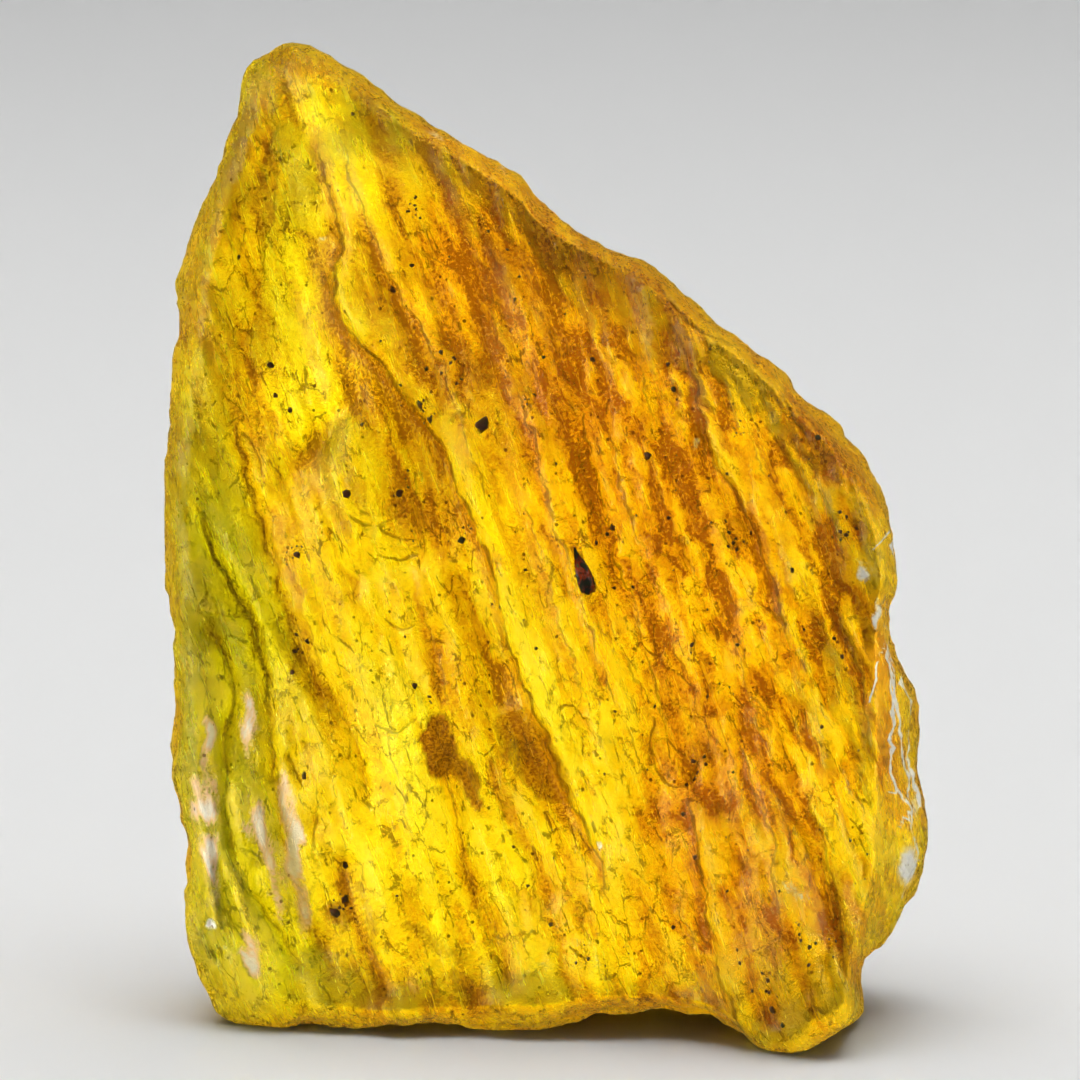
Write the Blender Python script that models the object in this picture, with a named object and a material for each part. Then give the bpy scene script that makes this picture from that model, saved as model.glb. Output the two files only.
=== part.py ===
"""A raw piece of amber that stands on its broken base.

The stone is drawn face on, in millimetres: x runs to the right, h up the face and
w out of the face towards the viewer.  The drawing leans back by LEAN, and everything
that would reach below the ground is cut off flat, which leaves the base it stands on.
"""

import math

import bmesh
import bpy
import numpy as np
from mathutils import Vector, noise

MM = 0.001  # millimetres to metres

# ---------------------------------------------------------------- driving dimensions
LEAN = math.radians(10.0)  # how far the drawn face leans back from upright
GROUND = 1.9  # how far the ground cuts into the leaning drawing
FACE_MIDDLE = (-0.4, 22.8)  # the point of the face that every ring closes on
FACE_OUT = 6.5  # how far the front stands out at the middle
FACE_SLOPE = (0.14, -0.02)  # the front's rise for each millimetre along x and h
BACK_OUT = -5.6  # the same for the back, which is nearly upright once it leans
BACK_SLOPE = (0.05, 0.10)
TRIANGLES = 9400
BASE_SNAP = 0.04 * MM  # what is this near the ground belongs to the flat base

# mesh of the sphere that is pushed into shape
SEGMENTS = 360
RINGS = 72  # from the rim to the middle of either face
RIM_SHARE = 0.25  # the share of the rings that goes round the rim

# The outline (x, h), clockwise from the top.
OUTLINE = [
    (-12.9, 50.8), (-11.5, 50.4), (-9.9, 49.3), (-7.4, 47.5), (-4.9, 46.0), (-2.4, 44.4),
    (-1.4, 43.7), (-0.7, 42.5), (0.6, 41.5), (3.1, 40.4), (5.3, 39.4), (7.1, 37.8),
    (9.1, 36.1), (11.1, 34.7), (12.6, 32.9), (14.3, 31.3), (15.6, 29.7), (16.9, 27.6),
    (17.4, 25.6), (17.5, 23.8), (17.1, 22.4), (17.2, 20.8), (17.9, 19.0), (18.5, 17.0),
    (18.6, 14.8), (18.9, 12.8), (19.2, 10.7), (18.7, 8.9), (17.9, 7.1), (16.9, 5.6),
    (15.7, 4.2), (15.5, 1.9), (13.6, 0.8), (11.8, 0.0), (10.2, 0.7), (9.0, 1.8),
    (7.6, 2.5), (5.3, 2.7), (2.6, 2.4), (1.1, 1.9), (-0.2, 1.5), (-3.4, 1.6),
    (-6.4, 1.6), (-8.9, 1.4), (-11.4, 1.5), (-13.4, 1.3), (-15.2, 1.7), (-16.4, 2.9),
    (-17.2, 4.3), (-17.9, 5.8), (-17.9, 7.8), (-18.1, 10.3), (-18.6, 13.3), (-18.7, 16.3),
    (-18.8, 19.8), (-18.9, 23.3), (-19.1, 25.8), (-19.3, 28.8), (-19.1, 32.1), (-18.7, 34.1),
    (-18.2, 37.3), (-17.9, 40.1), (-17.1, 42.8), (-16.3, 45.3), (-15.6, 47.3), (-15.0, 49.2),
    (-14.1, 50.2),
]  # fmt: skip

# How the rim is shaped, by direction from the middle in degrees: where its line runs (w),
# then for the front and for the back how far in its curve reaches and how square it is
# (1 a flat bevel, 2 a quarter round, more is squarer).
RIM = [
    (-165, 1.2, 1.6, 1.9, 3.5, 1.8),
    (-135, 1.6, 1.5, 1.8, 3.0, 1.7),
    (-112, 2.2, 1.2, 1.7, 1.6, 2.2),
    (-88, 2.4, 1.2, 1.8, 1.4, 2.4),
    (-75, 4.0, 1.0, 2.0, 1.4, 2.4),
    (-61, 6.0, 1.0, 2.4, 2.0, 1.6),
    (-53, 3.0, 0.7, 1.8, 3.0, 1.3),
    (-44, 0.0, 2.2, 1.15, 4.0, 1.4),
    (-33, -1.0, 3.3, 1.1, 4.2, 1.5),
    (-18, -0.5, 2.4, 1.2, 3.6, 1.6),
    (-3, 1.0, 1.1, 1.7, 3.2, 1.8),
    (15, 1.0, 1.1, 1.8, 3.4, 1.8),
    (45, 1.2, 1.0, 2.0, 3.4, 1.9),
    (80, 1.4, 1.1, 2.0, 3.0, 1.9),
    (115, 0.8, 1.6, 2.0, 3.4, 1.9),
    (150, 0.8, 1.6, 1.9, 3.6, 1.8),
    (175, 1.0, 1.5, 1.9, 3.6, 1.8),
]

# Ledges on the front: where one sheet of resin flowed over another and stopped short.
# Each is (route from top to bottom, height of the step, how far its top reaches back).
# The sheet on the right of the route is the higher one.
LEDGES = [
    ([(-11.6, 47.3), (-11.5, 45.3), (-10.9, 42.8), (-10.3, 40.6), (-10.7, 38.6), (-10.5, 37.1),
      (-9.6, 35.9), (-8.4, 34.7), (-7.2, 33.1), (-5.9, 31.6), (-4.8, 29.6), (-3.9, 27.2),
      (-3.0, 25.1), (-2.4, 22.8), (-1.8, 20.3), (-1.0, 18.1), (0.0, 15.6), (1.2, 12.8),
      (2.4, 10.3), (3.2, 7.6), (3.7, 4.8)], 1.5, 2.8),
    ([(-10.6, 46.8), (-10.1, 44.8), (-9.3, 42.3), (-8.5, 40.3), (-7.6, 38.3), (-6.4, 36.6),
      (-5.4, 34.7), (-4.5, 32.3), (-3.7, 29.7), (-2.9, 27.2)], 0.5, 1.8),
    ([(-1.8, 34.2), (-1.3, 32.6), (-0.8, 31.1), (-0.3, 29.1), (0.2, 26.8), (0.9, 24.8),
      (1.7, 22.3), (2.6, 19.8), (3.7, 16.8), (4.9, 13.8)], 0.55, 2.0),
    ([(1.4, 32.8), (2.0, 30.8), (2.5, 28.8), (3.0, 26.6), (3.7, 24.3), (4.4, 21.8), (5.1, 19.3),
      (5.8, 16.8)], 0.5, 1.5),
    ([(2.9, 31.8), (3.5, 29.3), (4.2, 26.6), (5.2, 24.1), (6.2, 21.3), (7.1, 18.3), (7.9, 15.6)],
     0.5, 1.8),
    ([(5.4, 37.8), (6.1, 36.6), (6.9, 35.2), (7.3, 33.6), (7.7, 31.6), (8.4, 29.8), (9.5, 27.8),
      (10.5, 25.8), (11.4, 22.8), (12.1, 19.8)], 0.8, 2.4),
    ([(7.0, 13.8), (7.3, 11.3), (7.7, 8.8), (8.1, 6.3), (8.6, 4.1), (9.3, 2.3), (10.0, 1.1)],
     1.0, 2.6),
    ([(9.3, 16.3), (10.1, 13.6), (11.0, 10.8), (11.3, 8.3), (11.6, 5.8)], 0.55, 1.6),
    ([(12.6, 14.3), (13.4, 11.3), (14.2, 8.8), (14.6, 6.1), (14.9, 3.3)], 0.5, 1.4),
    ([(14.1, 23.3), (14.8, 21.1), (15.5, 19.1), (15.9, 16.8), (16.2, 13.8)], 0.5, 1.2),
]  # fmt: skip

# Grooves between rounded folds: (route, depth, half width).
GROOVES = [
    ([(-18.0, 28.9), (-17.4, 26.6), (-16.7, 24.8), (-15.8, 23.2), (-14.9, 21.6), (-14.3, 19.8),
      (-14.0, 17.6), (-13.8, 14.8), (-13.4, 11.8), (-12.9, 9.6), (-12.3, 7.6), (-11.3, 5.4),
      (-9.9, 3.1)], 1.1, 0.8),
    ([(-15.9, 33.1), (-15.6, 31.3), (-15.2, 29.6), (-14.7, 27.6), (-14.1, 25.6), (-13.3, 23.0),
      (-12.6, 20.6), (-11.5, 18.6), (-10.5, 17.6), (-9.7, 15.7), (-9.1, 13.6), (-8.9, 11.3)],
     0.9, 0.8),
    ([(-17.3, 22.8), (-16.7, 20.8), (-15.8, 18.2), (-16.2, 15.8), (-16.1, 13.3), (-15.9, 11.2),
      (-15.3, 9.2), (-14.3, 7.4), (-13.2, 5.8), (-12.1, 3.7)], 1.0, 0.8),
    ([(-13.1, 15.3), (-12.6, 14.3), (-12.1, 13.2)], 0.6, 0.4),
    ([(-10.5, 10.6), (-10.1, 8.6), (-9.6, 6.7), (-8.9, 5.1), (-8.2, 3.6), (-7.7, 2.3)], 0.9, 0.6),
    ([(-5.4, 15.6), (-4.9, 13.6), (-4.5, 11.9), (-4.2, 10.1), (-3.6, 8.2), (-2.9, 6.7),
      (-2.3, 5.1), (-1.7, 2.8)], 0.9, 0.7),
    ([(-3.1, 15.6), (-2.7, 13.8), (-2.0, 12.1), (-1.0, 10.4), (-0.2, 8.9), (0.3, 7.1)], 0.5, 0.6),
    ([(-4.7, 24.8), (-3.9, 22.8), (-3.1, 20.8), (-2.6, 18.8), (-2.3, 17.1)], 0.6, 0.7),
    ([(-13.9, 46.5), (-14.6, 43.0), (-14.4, 39.0), (-15.6, 34.6)], 0.4, 1.0),
]  # fmt: skip

# Broad swells and hollows of the front: (middle, radii, turn in degrees, height).
SWELLS = [
    ((-12.7, 40.8), (2.2, 6.2), 4, -1.3),  # the trough below the top
    ((-9.2, 29.6), (2.4, 3.0), 8, 1.2),  # the knob at its foot
    ((-11.6, 30.6), (0.8, 2.6), -38, -1.1),  # the gash beside the knob
    ((-7.6, 24.8), (2.6, 1.0), 8, -0.8),  # the scoop under the knob
    ((-0.7, 14.6), (1.1, 2.8), 37, -0.9),  # the sunken lens in the middle
    ((-17.0, 33.0), (1.6, 6.0), 0, 0.5),
    ((3.0, 37.5), (6.0, 4.0), -30, -0.5),
    ((11.8, 30.0), (2.2, 4.6), 32, -0.6),
    ((12.8, 4.0), (3.4, 9.0), 12, 2.8),  # the foot that comes forward
    ((5.4, 3.4), (3.4, 2.6), 0, -0.9),  # the hollow over the arch
    ((1.8, 21.0), (3.0, 8.0), 15, 0.6),
    ((-15.0, 9.0), (3.0, 8.0), 15, 0.8),
    ((-7.5, 9.0), (2.6, 6.0), 12, 0.7),
]

# The back: broken shells of fracture, and a few folds.
BACK_SWELLS = [
    ((4.0, 27.0), (9.0, 8.0), 20, 1.6),
    ((-9.0, 15.0), (7.0, 9.0), -20, 1.4),
    ((-8.0, 36.0), (5.0, 8.0), 12, -1.2),
    ((8.5, 12.0), (6.0, 7.0), 30, -1.7),
    ((-2.0, 5.0), (8.0, 5.0), 0, -0.8),
    ((13.0, 21.0), (3.0, 6.0), 10, 0.8),
]
BACK_LEDGES = [
    ([(-6.0, 46.0), (-7.0, 40.0), (-5.0, 33.0), (-4.5, 27.0), (-1.0, 20.0), (1.0, 12.0),
      (4.5, 5.0)], 0.9, 5.0),
    ([(-14.5, 38.0), (-13.0, 30.0), (-12.5, 23.0), (-9.0, 15.0), (-7.0, 7.0)], 0.7, 3.4),
    ([(1.0, 38.0), (1.5, 31.0), (5.0, 24.0), (6.5, 17.0), (9.5, 10.0)], 0.7, 3.6),
    ([(9.0, 34.0), (10.0, 28.0), (13.0, 22.0), (14.0, 15.0)], 0.6, 2.8),
]  # fmt: skip

# Flat breaks that took the edges off the sides and the back: (point, outward direction).
BREAKS = [
    ((-15.6, 20.0, -4.2), (-0.72, 0.02, -0.69)),
    ((-13.4, 42.0, -2.9), (-0.50, 0.25, -0.83)),
    ((3.6, 38.4, -2.4), (0.42, 0.62, -0.66)),
    ((14.3, 27.5, -3.8), (0.75, 0.25, -0.61)),
    ((15.6, 9.5, -5.2), (0.62, -0.35, -0.70)),
    ((2.0, 24.0, -7.2), (0.20, 0.16, -0.97)),
    ((-8.0, 9.0, -8.0), (-0.28, -0.14, -0.95)),
]
BREAK_SHARE = 0.85  # how much of what stands past a break is gone

STEP_WIDTH = 0.4  # how far the riser of a ledge leans
BACK_STEP_WIDTH = 0.9
GROOVE_ROUND = 0.25  # how far from its line the bottom of a groove is rounded

# Flow wrinkles and lumps too small to draw one by one: (grain along x and h, height).
FLOW_DRIFT = 0.34  # how far a fold drifts to the right for each millimetre down
FRONT_NOISE = [((2.6, 12.0), 0.30), ((1.2, 6.0), 0.12)], [((7.0, 7.0), 0.45), ((2.4, 3.0), 0.13)]
BACK_NOISE = [((3.4, 9.0), 0.35), ((1.5, 5.0), 0.10)], [((9.0, 8.0), 0.8), ((3.4, 3.4), 0.25)]
RIM_NOISE = [(5.0, 0.55), (2.0, 0.28)]  # (grain, height) of the sides
CALM_SHARE = (0.5, 1.0)  # how far the outline's bumps have died out in front and behind
CALM_SPREAD = math.radians(11.0)

AMBER = (0.83, 0.42, 0.02, 1.0)


# ------------------------------------------------------------------- curves and fields
def smooth(points, steps=8, closed=False):
    """Points along a Catmull-Rom curve through the given ones."""
    p = np.array(points, float)
    if closed:
        p = np.vstack([p[-1], p, p[:2]])
    else:
        p = np.vstack([2 * p[0] - p[1], p, 2 * p[-1] - p[-2]])
    t = np.linspace(0, 1, steps, endpoint=False)[:, None]
    spans = []
    for a, b, c, d in zip(p, p[1:], p[2:], p[3:]):
        spans.append(
            b + 0.5 * t * (c - a + t * (2 * a - 5 * b + 4 * c - d + t * (3 * (b - c) + d - a)))
        )
    curve = np.vstack(spans)
    return curve if closed else np.vstack([curve, p[-2]])


def beside(route, at):
    """How far each point is to the right of a route that runs down, and where along it."""
    line = smooth(route)
    start, step = line[:-1], np.diff(line, axis=0)
    length = np.hypot(*step.T)
    best = np.full(len(at), np.inf)
    side = np.zeros(len(at))
    along = np.zeros(len(at))
    begun = np.concatenate([[0], np.cumsum(length)])
    for a, d, size, before in zip(start, step, length, begun):
        off = at - a
        t = np.clip(off @ d / size**2, 0, 1)
        gap = np.hypot(*(off - t[:, None] * d).T)
        near = gap < best
        best[near] = gap[near]
        side[near] = np.sign(off @ (-d[1], d[0]))[near]
        along[near] = (before + t * size)[near] / begun[-1]
    return best * side, along


def fade_ends(along, share=0.18):
    """1 along the middle of a route, falling to 0 at both ends."""
    t = np.clip(np.minimum(along, 1 - along) / share, 0, 1)
    return t * t * (3 - 2 * t)


def ledge(route, height, reach, at, step_width):
    d, along = beside(route, at)
    right = 0.5 + 0.5 * np.tanh(d / step_width)
    tread = right * np.exp(-np.maximum(d, 0) / reach)
    foot = (1 - right) * 0.4 * np.exp(-np.maximum(-d, 0) / (0.5 * reach))
    return height * fade_ends(along) * (tread - foot)


def groove(route, depth, half_width, at):
    d, along = beside(route, at)
    off = np.hypot(d, GROOVE_ROUND) - GROOVE_ROUND
    return -depth * fade_ends(along, 0.12) * np.exp(-off / half_width)


def swell(middle, radii, turn, height, at):
    c, s = math.cos(math.radians(turn)), math.sin(math.radians(turn))
    off = (at - middle) @ np.array([[c, -s], [s, c]])
    return height * np.exp(-((off / radii) ** 2).sum(axis=1))


def grain(at, size, seed):
    """Smooth noise of about -1 to 1 over points (x, h) or (x, h, w), of the given grain."""
    scaled = np.column_stack([at / size, np.zeros(len(at))])[:, :3] + (0, 0, seed)
    return np.array([noise.noise(Vector(p)) for p in scaled]) * 1.6


def along_flow(at):
    """The same points with the drift of the folds taken out, so that they run down h."""
    return np.column_stack([at[:, 0] + FLOW_DRIFT * (at[:, 1] - FACE_MIDDLE[1]), at[:, 1]])


def relief(at, ledges, step_width, grooves, swells, ripples, seed):
    """How far one face stands out of its plane at each (x, h), in millimetres."""
    w = np.zeros(len(at))
    for row in swells:
        w += swell(*row, at)
    for row in ledges:
        w += ledge(*row, at, step_width)
    for row in grooves:
        w += groove(*row, at)
    wrinkles, lumps = ripples
    flow = along_flow(at)
    for size, height in wrinkles:
        w += height * grain(flow, size, seed)
    for size, height in lumps:
        w += height * grain(at, size, seed + 10)
    return w


def front(at):
    flat = FACE_OUT + (at - FACE_MIDDLE) @ FACE_SLOPE
    return flat + relief(at, LEDGES, STEP_WIDTH, GROOVES, SWELLS, FRONT_NOISE, 3.0)


def back(at):
    """The back is drawn as seen through the stone, and its relief stands out towards -w."""
    flat = BACK_OUT + (at - FACE_MIDDLE) @ BACK_SLOPE
    return flat - relief(at, BACK_LEDGES, BACK_STEP_WIDTH, [], BACK_SWELLS, BACK_NOISE, 23.0)


# ------------------------------------------------------------------------- the stone
def outline_reach(turn):
    """How far the outline is from the middle in each direction, given in radians."""
    off = smooth(OUTLINE, closed=True) - FACE_MIDDLE
    angle = np.arctan2(off[:, 1], off[:, 0])
    order = np.argsort(angle)
    return np.interp(turn, angle[order], np.hypot(*off.T)[order], period=2 * math.pi)


def calm_reach(turn):
    """The outline's reach averaged over the directions around each one."""
    spread = np.linspace(-2, 2, 17)
    weight = np.exp(-(spread**2) / 2)
    each = [outline_reach(turn + s * CALM_SPREAD) for s in spread]
    return np.average(each, axis=0, weights=weight)


def rim_values(turn):
    table = np.array(RIM, float)
    knots = np.radians(table[:, 0])
    return [np.interp(turn, knots, column, period=2 * math.pi) for column in table[:, 1:].T]


def broken(points):
    """Cuts the points back to the flat breaks."""
    for at, outward in BREAKS:
        outward = np.array(outward) / np.linalg.norm(outward)
        past = np.maximum((points - at) @ outward, 0)
        points = points - BREAK_SHARE * past[:, None] * outward
    return points


def shaped(points):
    """Moves the points of a unit sphere, poles front and back, to the drawn stone."""
    turn = np.arctan2(points[:, 1], points[:, 0])
    rise = np.abs(np.arcsin(np.clip(points[:, 2], -1, 1))) / (math.pi / 2)
    is_front = points[:, 2] >= 0
    line, front_in, front_square, back_in, back_square = rim_values(turn)
    inset = np.where(is_front, front_in, back_in)
    square = np.where(is_front, front_square, back_square)
    on_rim = np.clip(rise / RIM_SHARE, 0, 1)
    on_face = np.clip((rise - RIM_SHARE) / (1 - RIM_SHARE), 0, 1)
    round_rim = 1 - np.cos(on_rim * math.pi / 2)
    calm = round_rim * np.where(is_front, *CALM_SHARE)
    reach = outline_reach(turn) * (1 - calm) + calm_reach(turn) * calm
    inward = inset * round_rim + (reach - inset) * on_face
    towards = np.column_stack([np.cos(turn), np.sin(turn)])
    at = FACE_MIDDLE + towards * (reach - inward)[:, None]
    left = 1 - np.clip(inward / inset, 0, 1)
    height = (1 - left**square) ** (1 / square)
    out = np.where(is_front, front(at), back(at))
    made = np.column_stack([at, line + (out - line) * height])
    on_side = np.where(is_front, 0, 4 * left * (1 - left)) * np.clip((at[:, 1] - 4) / 4, 0, 1)
    for size, bump in RIM_NOISE:
        push = bump * on_side * (grain(made, size, 40.0) - 1)
        made[:, :2] += towards * push[:, None]
    return broken(made)


def stood_up(drawn):
    """Leans the drawing back and cuts it off flat at the ground."""
    x, h, w = drawn.T
    y = h * math.sin(LEAN) - w * math.cos(LEAN)
    z = h * math.cos(LEAN) + w * math.sin(LEAN) - GROUND
    return np.column_stack([x, y, np.maximum(z, 0.0)])


def amber_material():
    made = bpy.data.materials.new("amber")
    made.use_nodes = True
    shader = made.node_tree.nodes["Principled BSDF"]
    shader.inputs["Base Color"].default_value = AMBER
    shader.inputs["Metallic"].default_value = 0.0
    shader.inputs["Roughness"].default_value = 0.3
    shader.inputs["Transmission Weight"].default_value = 0.6
    shader.inputs["IOR"].default_value = 1.54
    return made


def thinned(mesh, triangles):
    """The mesh with its flatter stretches merged, down to a number of triangles."""
    helper = bpy.data.objects.new("amber_fine", mesh)
    bpy.context.collection.objects.link(helper)
    thin = helper.modifiers.new("thin", "DECIMATE")
    thin.use_collapse_triangulate = True
    thin.ratio = triangles / (2 * len(mesh.vertices) - 4)
    graph = bpy.context.evaluated_depsgraph_get()
    made = bpy.data.meshes.new_from_object(helper.evaluated_get(graph))
    bpy.data.objects.remove(helper)
    return made


def settled(mesh):
    """Flattens the base and puts the origin in the middle, on the ground."""
    co = np.array([v.co for v in mesh.vertices])
    low, high = co.min(axis=0), co.max(axis=0)
    co[:, :2] -= (low[:2] + high[:2]) / 2
    co[co[:, 2] < BASE_SNAP, 2] = 0.0
    mesh.vertices.foreach_set("co", co.ravel())
    mesh.update()


def make_amber():
    bm = bmesh.new()
    bmesh.ops.create_uvsphere(bm, u_segments=SEGMENTS, v_segments=2 * RINGS, radius=1.0)
    mesh = bpy.data.meshes.new("amber_fine")
    bm.to_mesh(mesh)
    bm.free()
    sphere = np.array([v.co for v in mesh.vertices])
    mesh.vertices.foreach_set("co", (stood_up(shaped(sphere)) * MM).ravel())
    mesh.update()
    mesh = thinned(mesh, TRIANGLES)
    mesh.name = "amber"
    settled(mesh)
    mesh.materials.append(amber_material())
    mesh.shade_smooth()
    amber = bpy.data.objects.new("amber", mesh)
    bpy.context.collection.objects.link(amber)
    return amber


def main():
    for old in list(bpy.data.objects):
        bpy.data.objects.remove(old)
    make_amber()


main()
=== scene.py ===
"""The looks of the raw amber piece: its fine surface, its grains, the floor, the lights and
the camera.

The stone is drawn face on, in millimetres: x runs to the right, h up the face and w out of
the face.  The drawing leans back by LEAN and stands on the ground, as the solid does.
"""

import math

import bmesh
import bpy
import numpy as np
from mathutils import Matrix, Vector, noise
from mathutils.bvhtree import BVHTree


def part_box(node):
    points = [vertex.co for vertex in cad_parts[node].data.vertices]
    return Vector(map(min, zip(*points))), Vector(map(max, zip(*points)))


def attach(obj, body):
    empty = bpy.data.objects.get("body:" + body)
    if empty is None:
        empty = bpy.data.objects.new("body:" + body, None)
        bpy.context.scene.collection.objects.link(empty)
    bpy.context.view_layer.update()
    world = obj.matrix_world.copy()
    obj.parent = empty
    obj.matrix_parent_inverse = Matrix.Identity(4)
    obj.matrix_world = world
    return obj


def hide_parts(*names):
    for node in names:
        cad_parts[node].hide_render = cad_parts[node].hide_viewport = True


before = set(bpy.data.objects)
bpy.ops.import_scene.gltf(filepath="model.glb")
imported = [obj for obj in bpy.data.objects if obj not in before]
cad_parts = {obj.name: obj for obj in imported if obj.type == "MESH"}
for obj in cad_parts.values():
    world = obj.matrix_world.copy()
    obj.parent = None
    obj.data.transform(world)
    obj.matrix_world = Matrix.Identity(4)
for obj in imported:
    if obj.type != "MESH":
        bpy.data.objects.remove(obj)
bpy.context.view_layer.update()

MM = 0.001  # millimetres to metres

# ------------------------------------------------------------- the stone as it is drawn
LEAN = math.radians(10.0)
GROUND = 1.9
SHIFT = (-0.049, 0.652)  # the drawing's ground point that is the origin of the part
FACE_MIDDLE = (-0.4, 22.8)
FACE_OUT = 6.5
FACE_SLOPE = (0.14, -0.02)
BACK_OUT = -5.6
BACK_SLOPE = (0.05, 0.10)
RIM_SHARE = 0.25

GRID = 125  # squares along each side of the sphere's six faces
FRONT_PULL = 0.78  # below 1, more of the squares lie on the face

# The outline (x, h), clockwise from the top.
OUTLINE = [
    (-12.9, 50.8), (-11.5, 50.4), (-9.9, 49.3), (-7.4, 47.5), (-4.9, 46.0), (-2.4, 44.4),
    (-1.4, 43.7), (-0.7, 42.5), (0.6, 41.5), (3.1, 40.4), (5.3, 39.4), (7.1, 37.8),
    (9.1, 36.1), (11.1, 34.7), (12.6, 32.9), (14.3, 31.3), (15.6, 29.7), (16.9, 27.6),
    (17.4, 25.6), (17.5, 23.8), (17.1, 22.4), (17.2, 20.8), (17.9, 19.0), (18.5, 17.0),
    (18.6, 14.8), (18.9, 12.8), (19.2, 10.7), (18.7, 8.9), (17.9, 7.1), (16.9, 5.6),
    (15.7, 4.2), (15.5, 1.9), (13.6, 0.8), (11.8, 0.0), (10.2, 0.7), (9.0, 1.8),
    (7.6, 2.5), (5.3, 2.7), (2.6, 2.4), (1.1, 1.9), (-0.2, 1.5), (-3.4, 1.6),
    (-6.4, 1.6), (-8.9, 1.4), (-11.4, 1.5), (-13.4, 1.3), (-15.2, 1.7), (-16.4, 2.9),
    (-17.2, 4.3), (-17.9, 5.8), (-17.9, 7.8), (-18.1, 10.3), (-18.6, 13.3), (-18.7, 16.3),
    (-18.8, 19.8), (-18.9, 23.3), (-19.1, 25.8), (-19.3, 28.8), (-19.1, 32.1), (-18.7, 34.1),
    (-18.2, 37.3), (-17.9, 40.1), (-17.1, 42.8), (-16.3, 45.3), (-15.6, 47.3), (-15.0, 49.2),
    (-14.1, 50.2),
]  # fmt: skip

# How the rim is shaped, by direction from the middle in degrees: where its line runs (w),
# then for the front and for the back how far in its curve reaches and how square it is
# (1 a flat bevel, 2 a quarter round, more is squarer).
RIM = [
    (-165, 1.2, 1.6, 1.9, 3.5, 1.8),
    (-135, 1.6, 1.5, 1.8, 3.0, 1.7),
    (-112, 2.2, 1.2, 1.7, 1.6, 2.2),
    (-88, 2.4, 1.2, 1.8, 1.4, 2.4),
    (-75, 4.0, 1.0, 2.0, 1.4, 2.4),
    (-61, 6.0, 1.0, 2.4, 2.0, 1.6),
    (-53, 3.0, 0.7, 1.8, 3.0, 1.3),
    (-44, 0.0, 2.2, 1.15, 4.0, 1.4),
    (-33, -1.0, 3.3, 1.1, 4.2, 1.5),
    (-18, -0.5, 2.4, 1.2, 3.6, 1.6),
    (-3, 1.0, 1.1, 1.7, 3.2, 1.8),
    (15, 1.0, 1.1, 1.8, 3.4, 1.8),
    (45, 1.2, 1.0, 2.0, 3.4, 1.9),
    (80, 1.4, 1.1, 2.0, 3.0, 1.9),
    (115, 0.8, 1.6, 2.0, 3.4, 1.9),
    (150, 0.8, 1.6, 1.9, 3.6, 1.8),
    (175, 1.0, 1.5, 1.9, 3.6, 1.8),
]

# Ledges on the front: where one sheet of resin flowed over another and stopped short.
# Each is (route from top to bottom, height of the step, how far its top reaches back).
# The sheet on the right of the route is the higher one.
LEDGES = [
    ([(-11.6, 47.3), (-11.5, 45.3), (-10.9, 42.8), (-10.3, 40.6), (-10.7, 38.6), (-10.5, 37.1),
      (-9.6, 35.9), (-8.4, 34.7), (-7.2, 33.1), (-5.9, 31.6), (-4.8, 29.6), (-3.9, 27.2),
      (-3.0, 25.1), (-2.4, 22.8), (-1.8, 20.3), (-1.0, 18.1), (0.0, 15.6), (1.2, 12.8),
      (2.4, 10.3), (3.2, 7.6), (3.7, 4.8)], 1.5, 2.8),
    ([(-10.6, 46.8), (-10.1, 44.8), (-9.3, 42.3), (-8.5, 40.3), (-7.6, 38.3), (-6.4, 36.6),
      (-5.4, 34.7), (-4.5, 32.3), (-3.7, 29.7), (-2.9, 27.2)], 0.5, 1.8),
    ([(-1.8, 34.2), (-1.3, 32.6), (-0.8, 31.1), (-0.3, 29.1), (0.2, 26.8), (0.9, 24.8),
      (1.7, 22.3), (2.6, 19.8), (3.7, 16.8), (4.9, 13.8)], 0.55, 2.0),
    ([(1.4, 32.8), (2.0, 30.8), (2.5, 28.8), (3.0, 26.6), (3.7, 24.3), (4.4, 21.8), (5.1, 19.3),
      (5.8, 16.8)], 0.5, 1.5),
    ([(2.9, 31.8), (3.5, 29.3), (4.2, 26.6), (5.2, 24.1), (6.2, 21.3), (7.1, 18.3), (7.9, 15.6)],
     0.5, 1.8),
    ([(5.4, 37.8), (6.1, 36.6), (6.9, 35.2), (7.3, 33.6), (7.7, 31.6), (8.4, 29.8), (9.5, 27.8),
      (10.5, 25.8), (11.4, 22.8), (12.1, 19.8)], 0.8, 2.4),
    ([(7.0, 13.8), (7.3, 11.3), (7.7, 8.8), (8.1, 6.3), (8.6, 4.1), (9.3, 2.3), (10.0, 1.1)],
     1.0, 2.6),
    ([(9.3, 16.3), (10.1, 13.6), (11.0, 10.8), (11.3, 8.3), (11.6, 5.8)], 0.55, 1.6),
    ([(12.6, 14.3), (13.4, 11.3), (14.2, 8.8), (14.6, 6.1), (14.9, 3.3)], 0.5, 1.4),
    ([(14.1, 23.3), (14.8, 21.1), (15.5, 19.1), (15.9, 16.8), (16.2, 13.8)], 0.5, 1.2),
]  # fmt: skip

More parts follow.
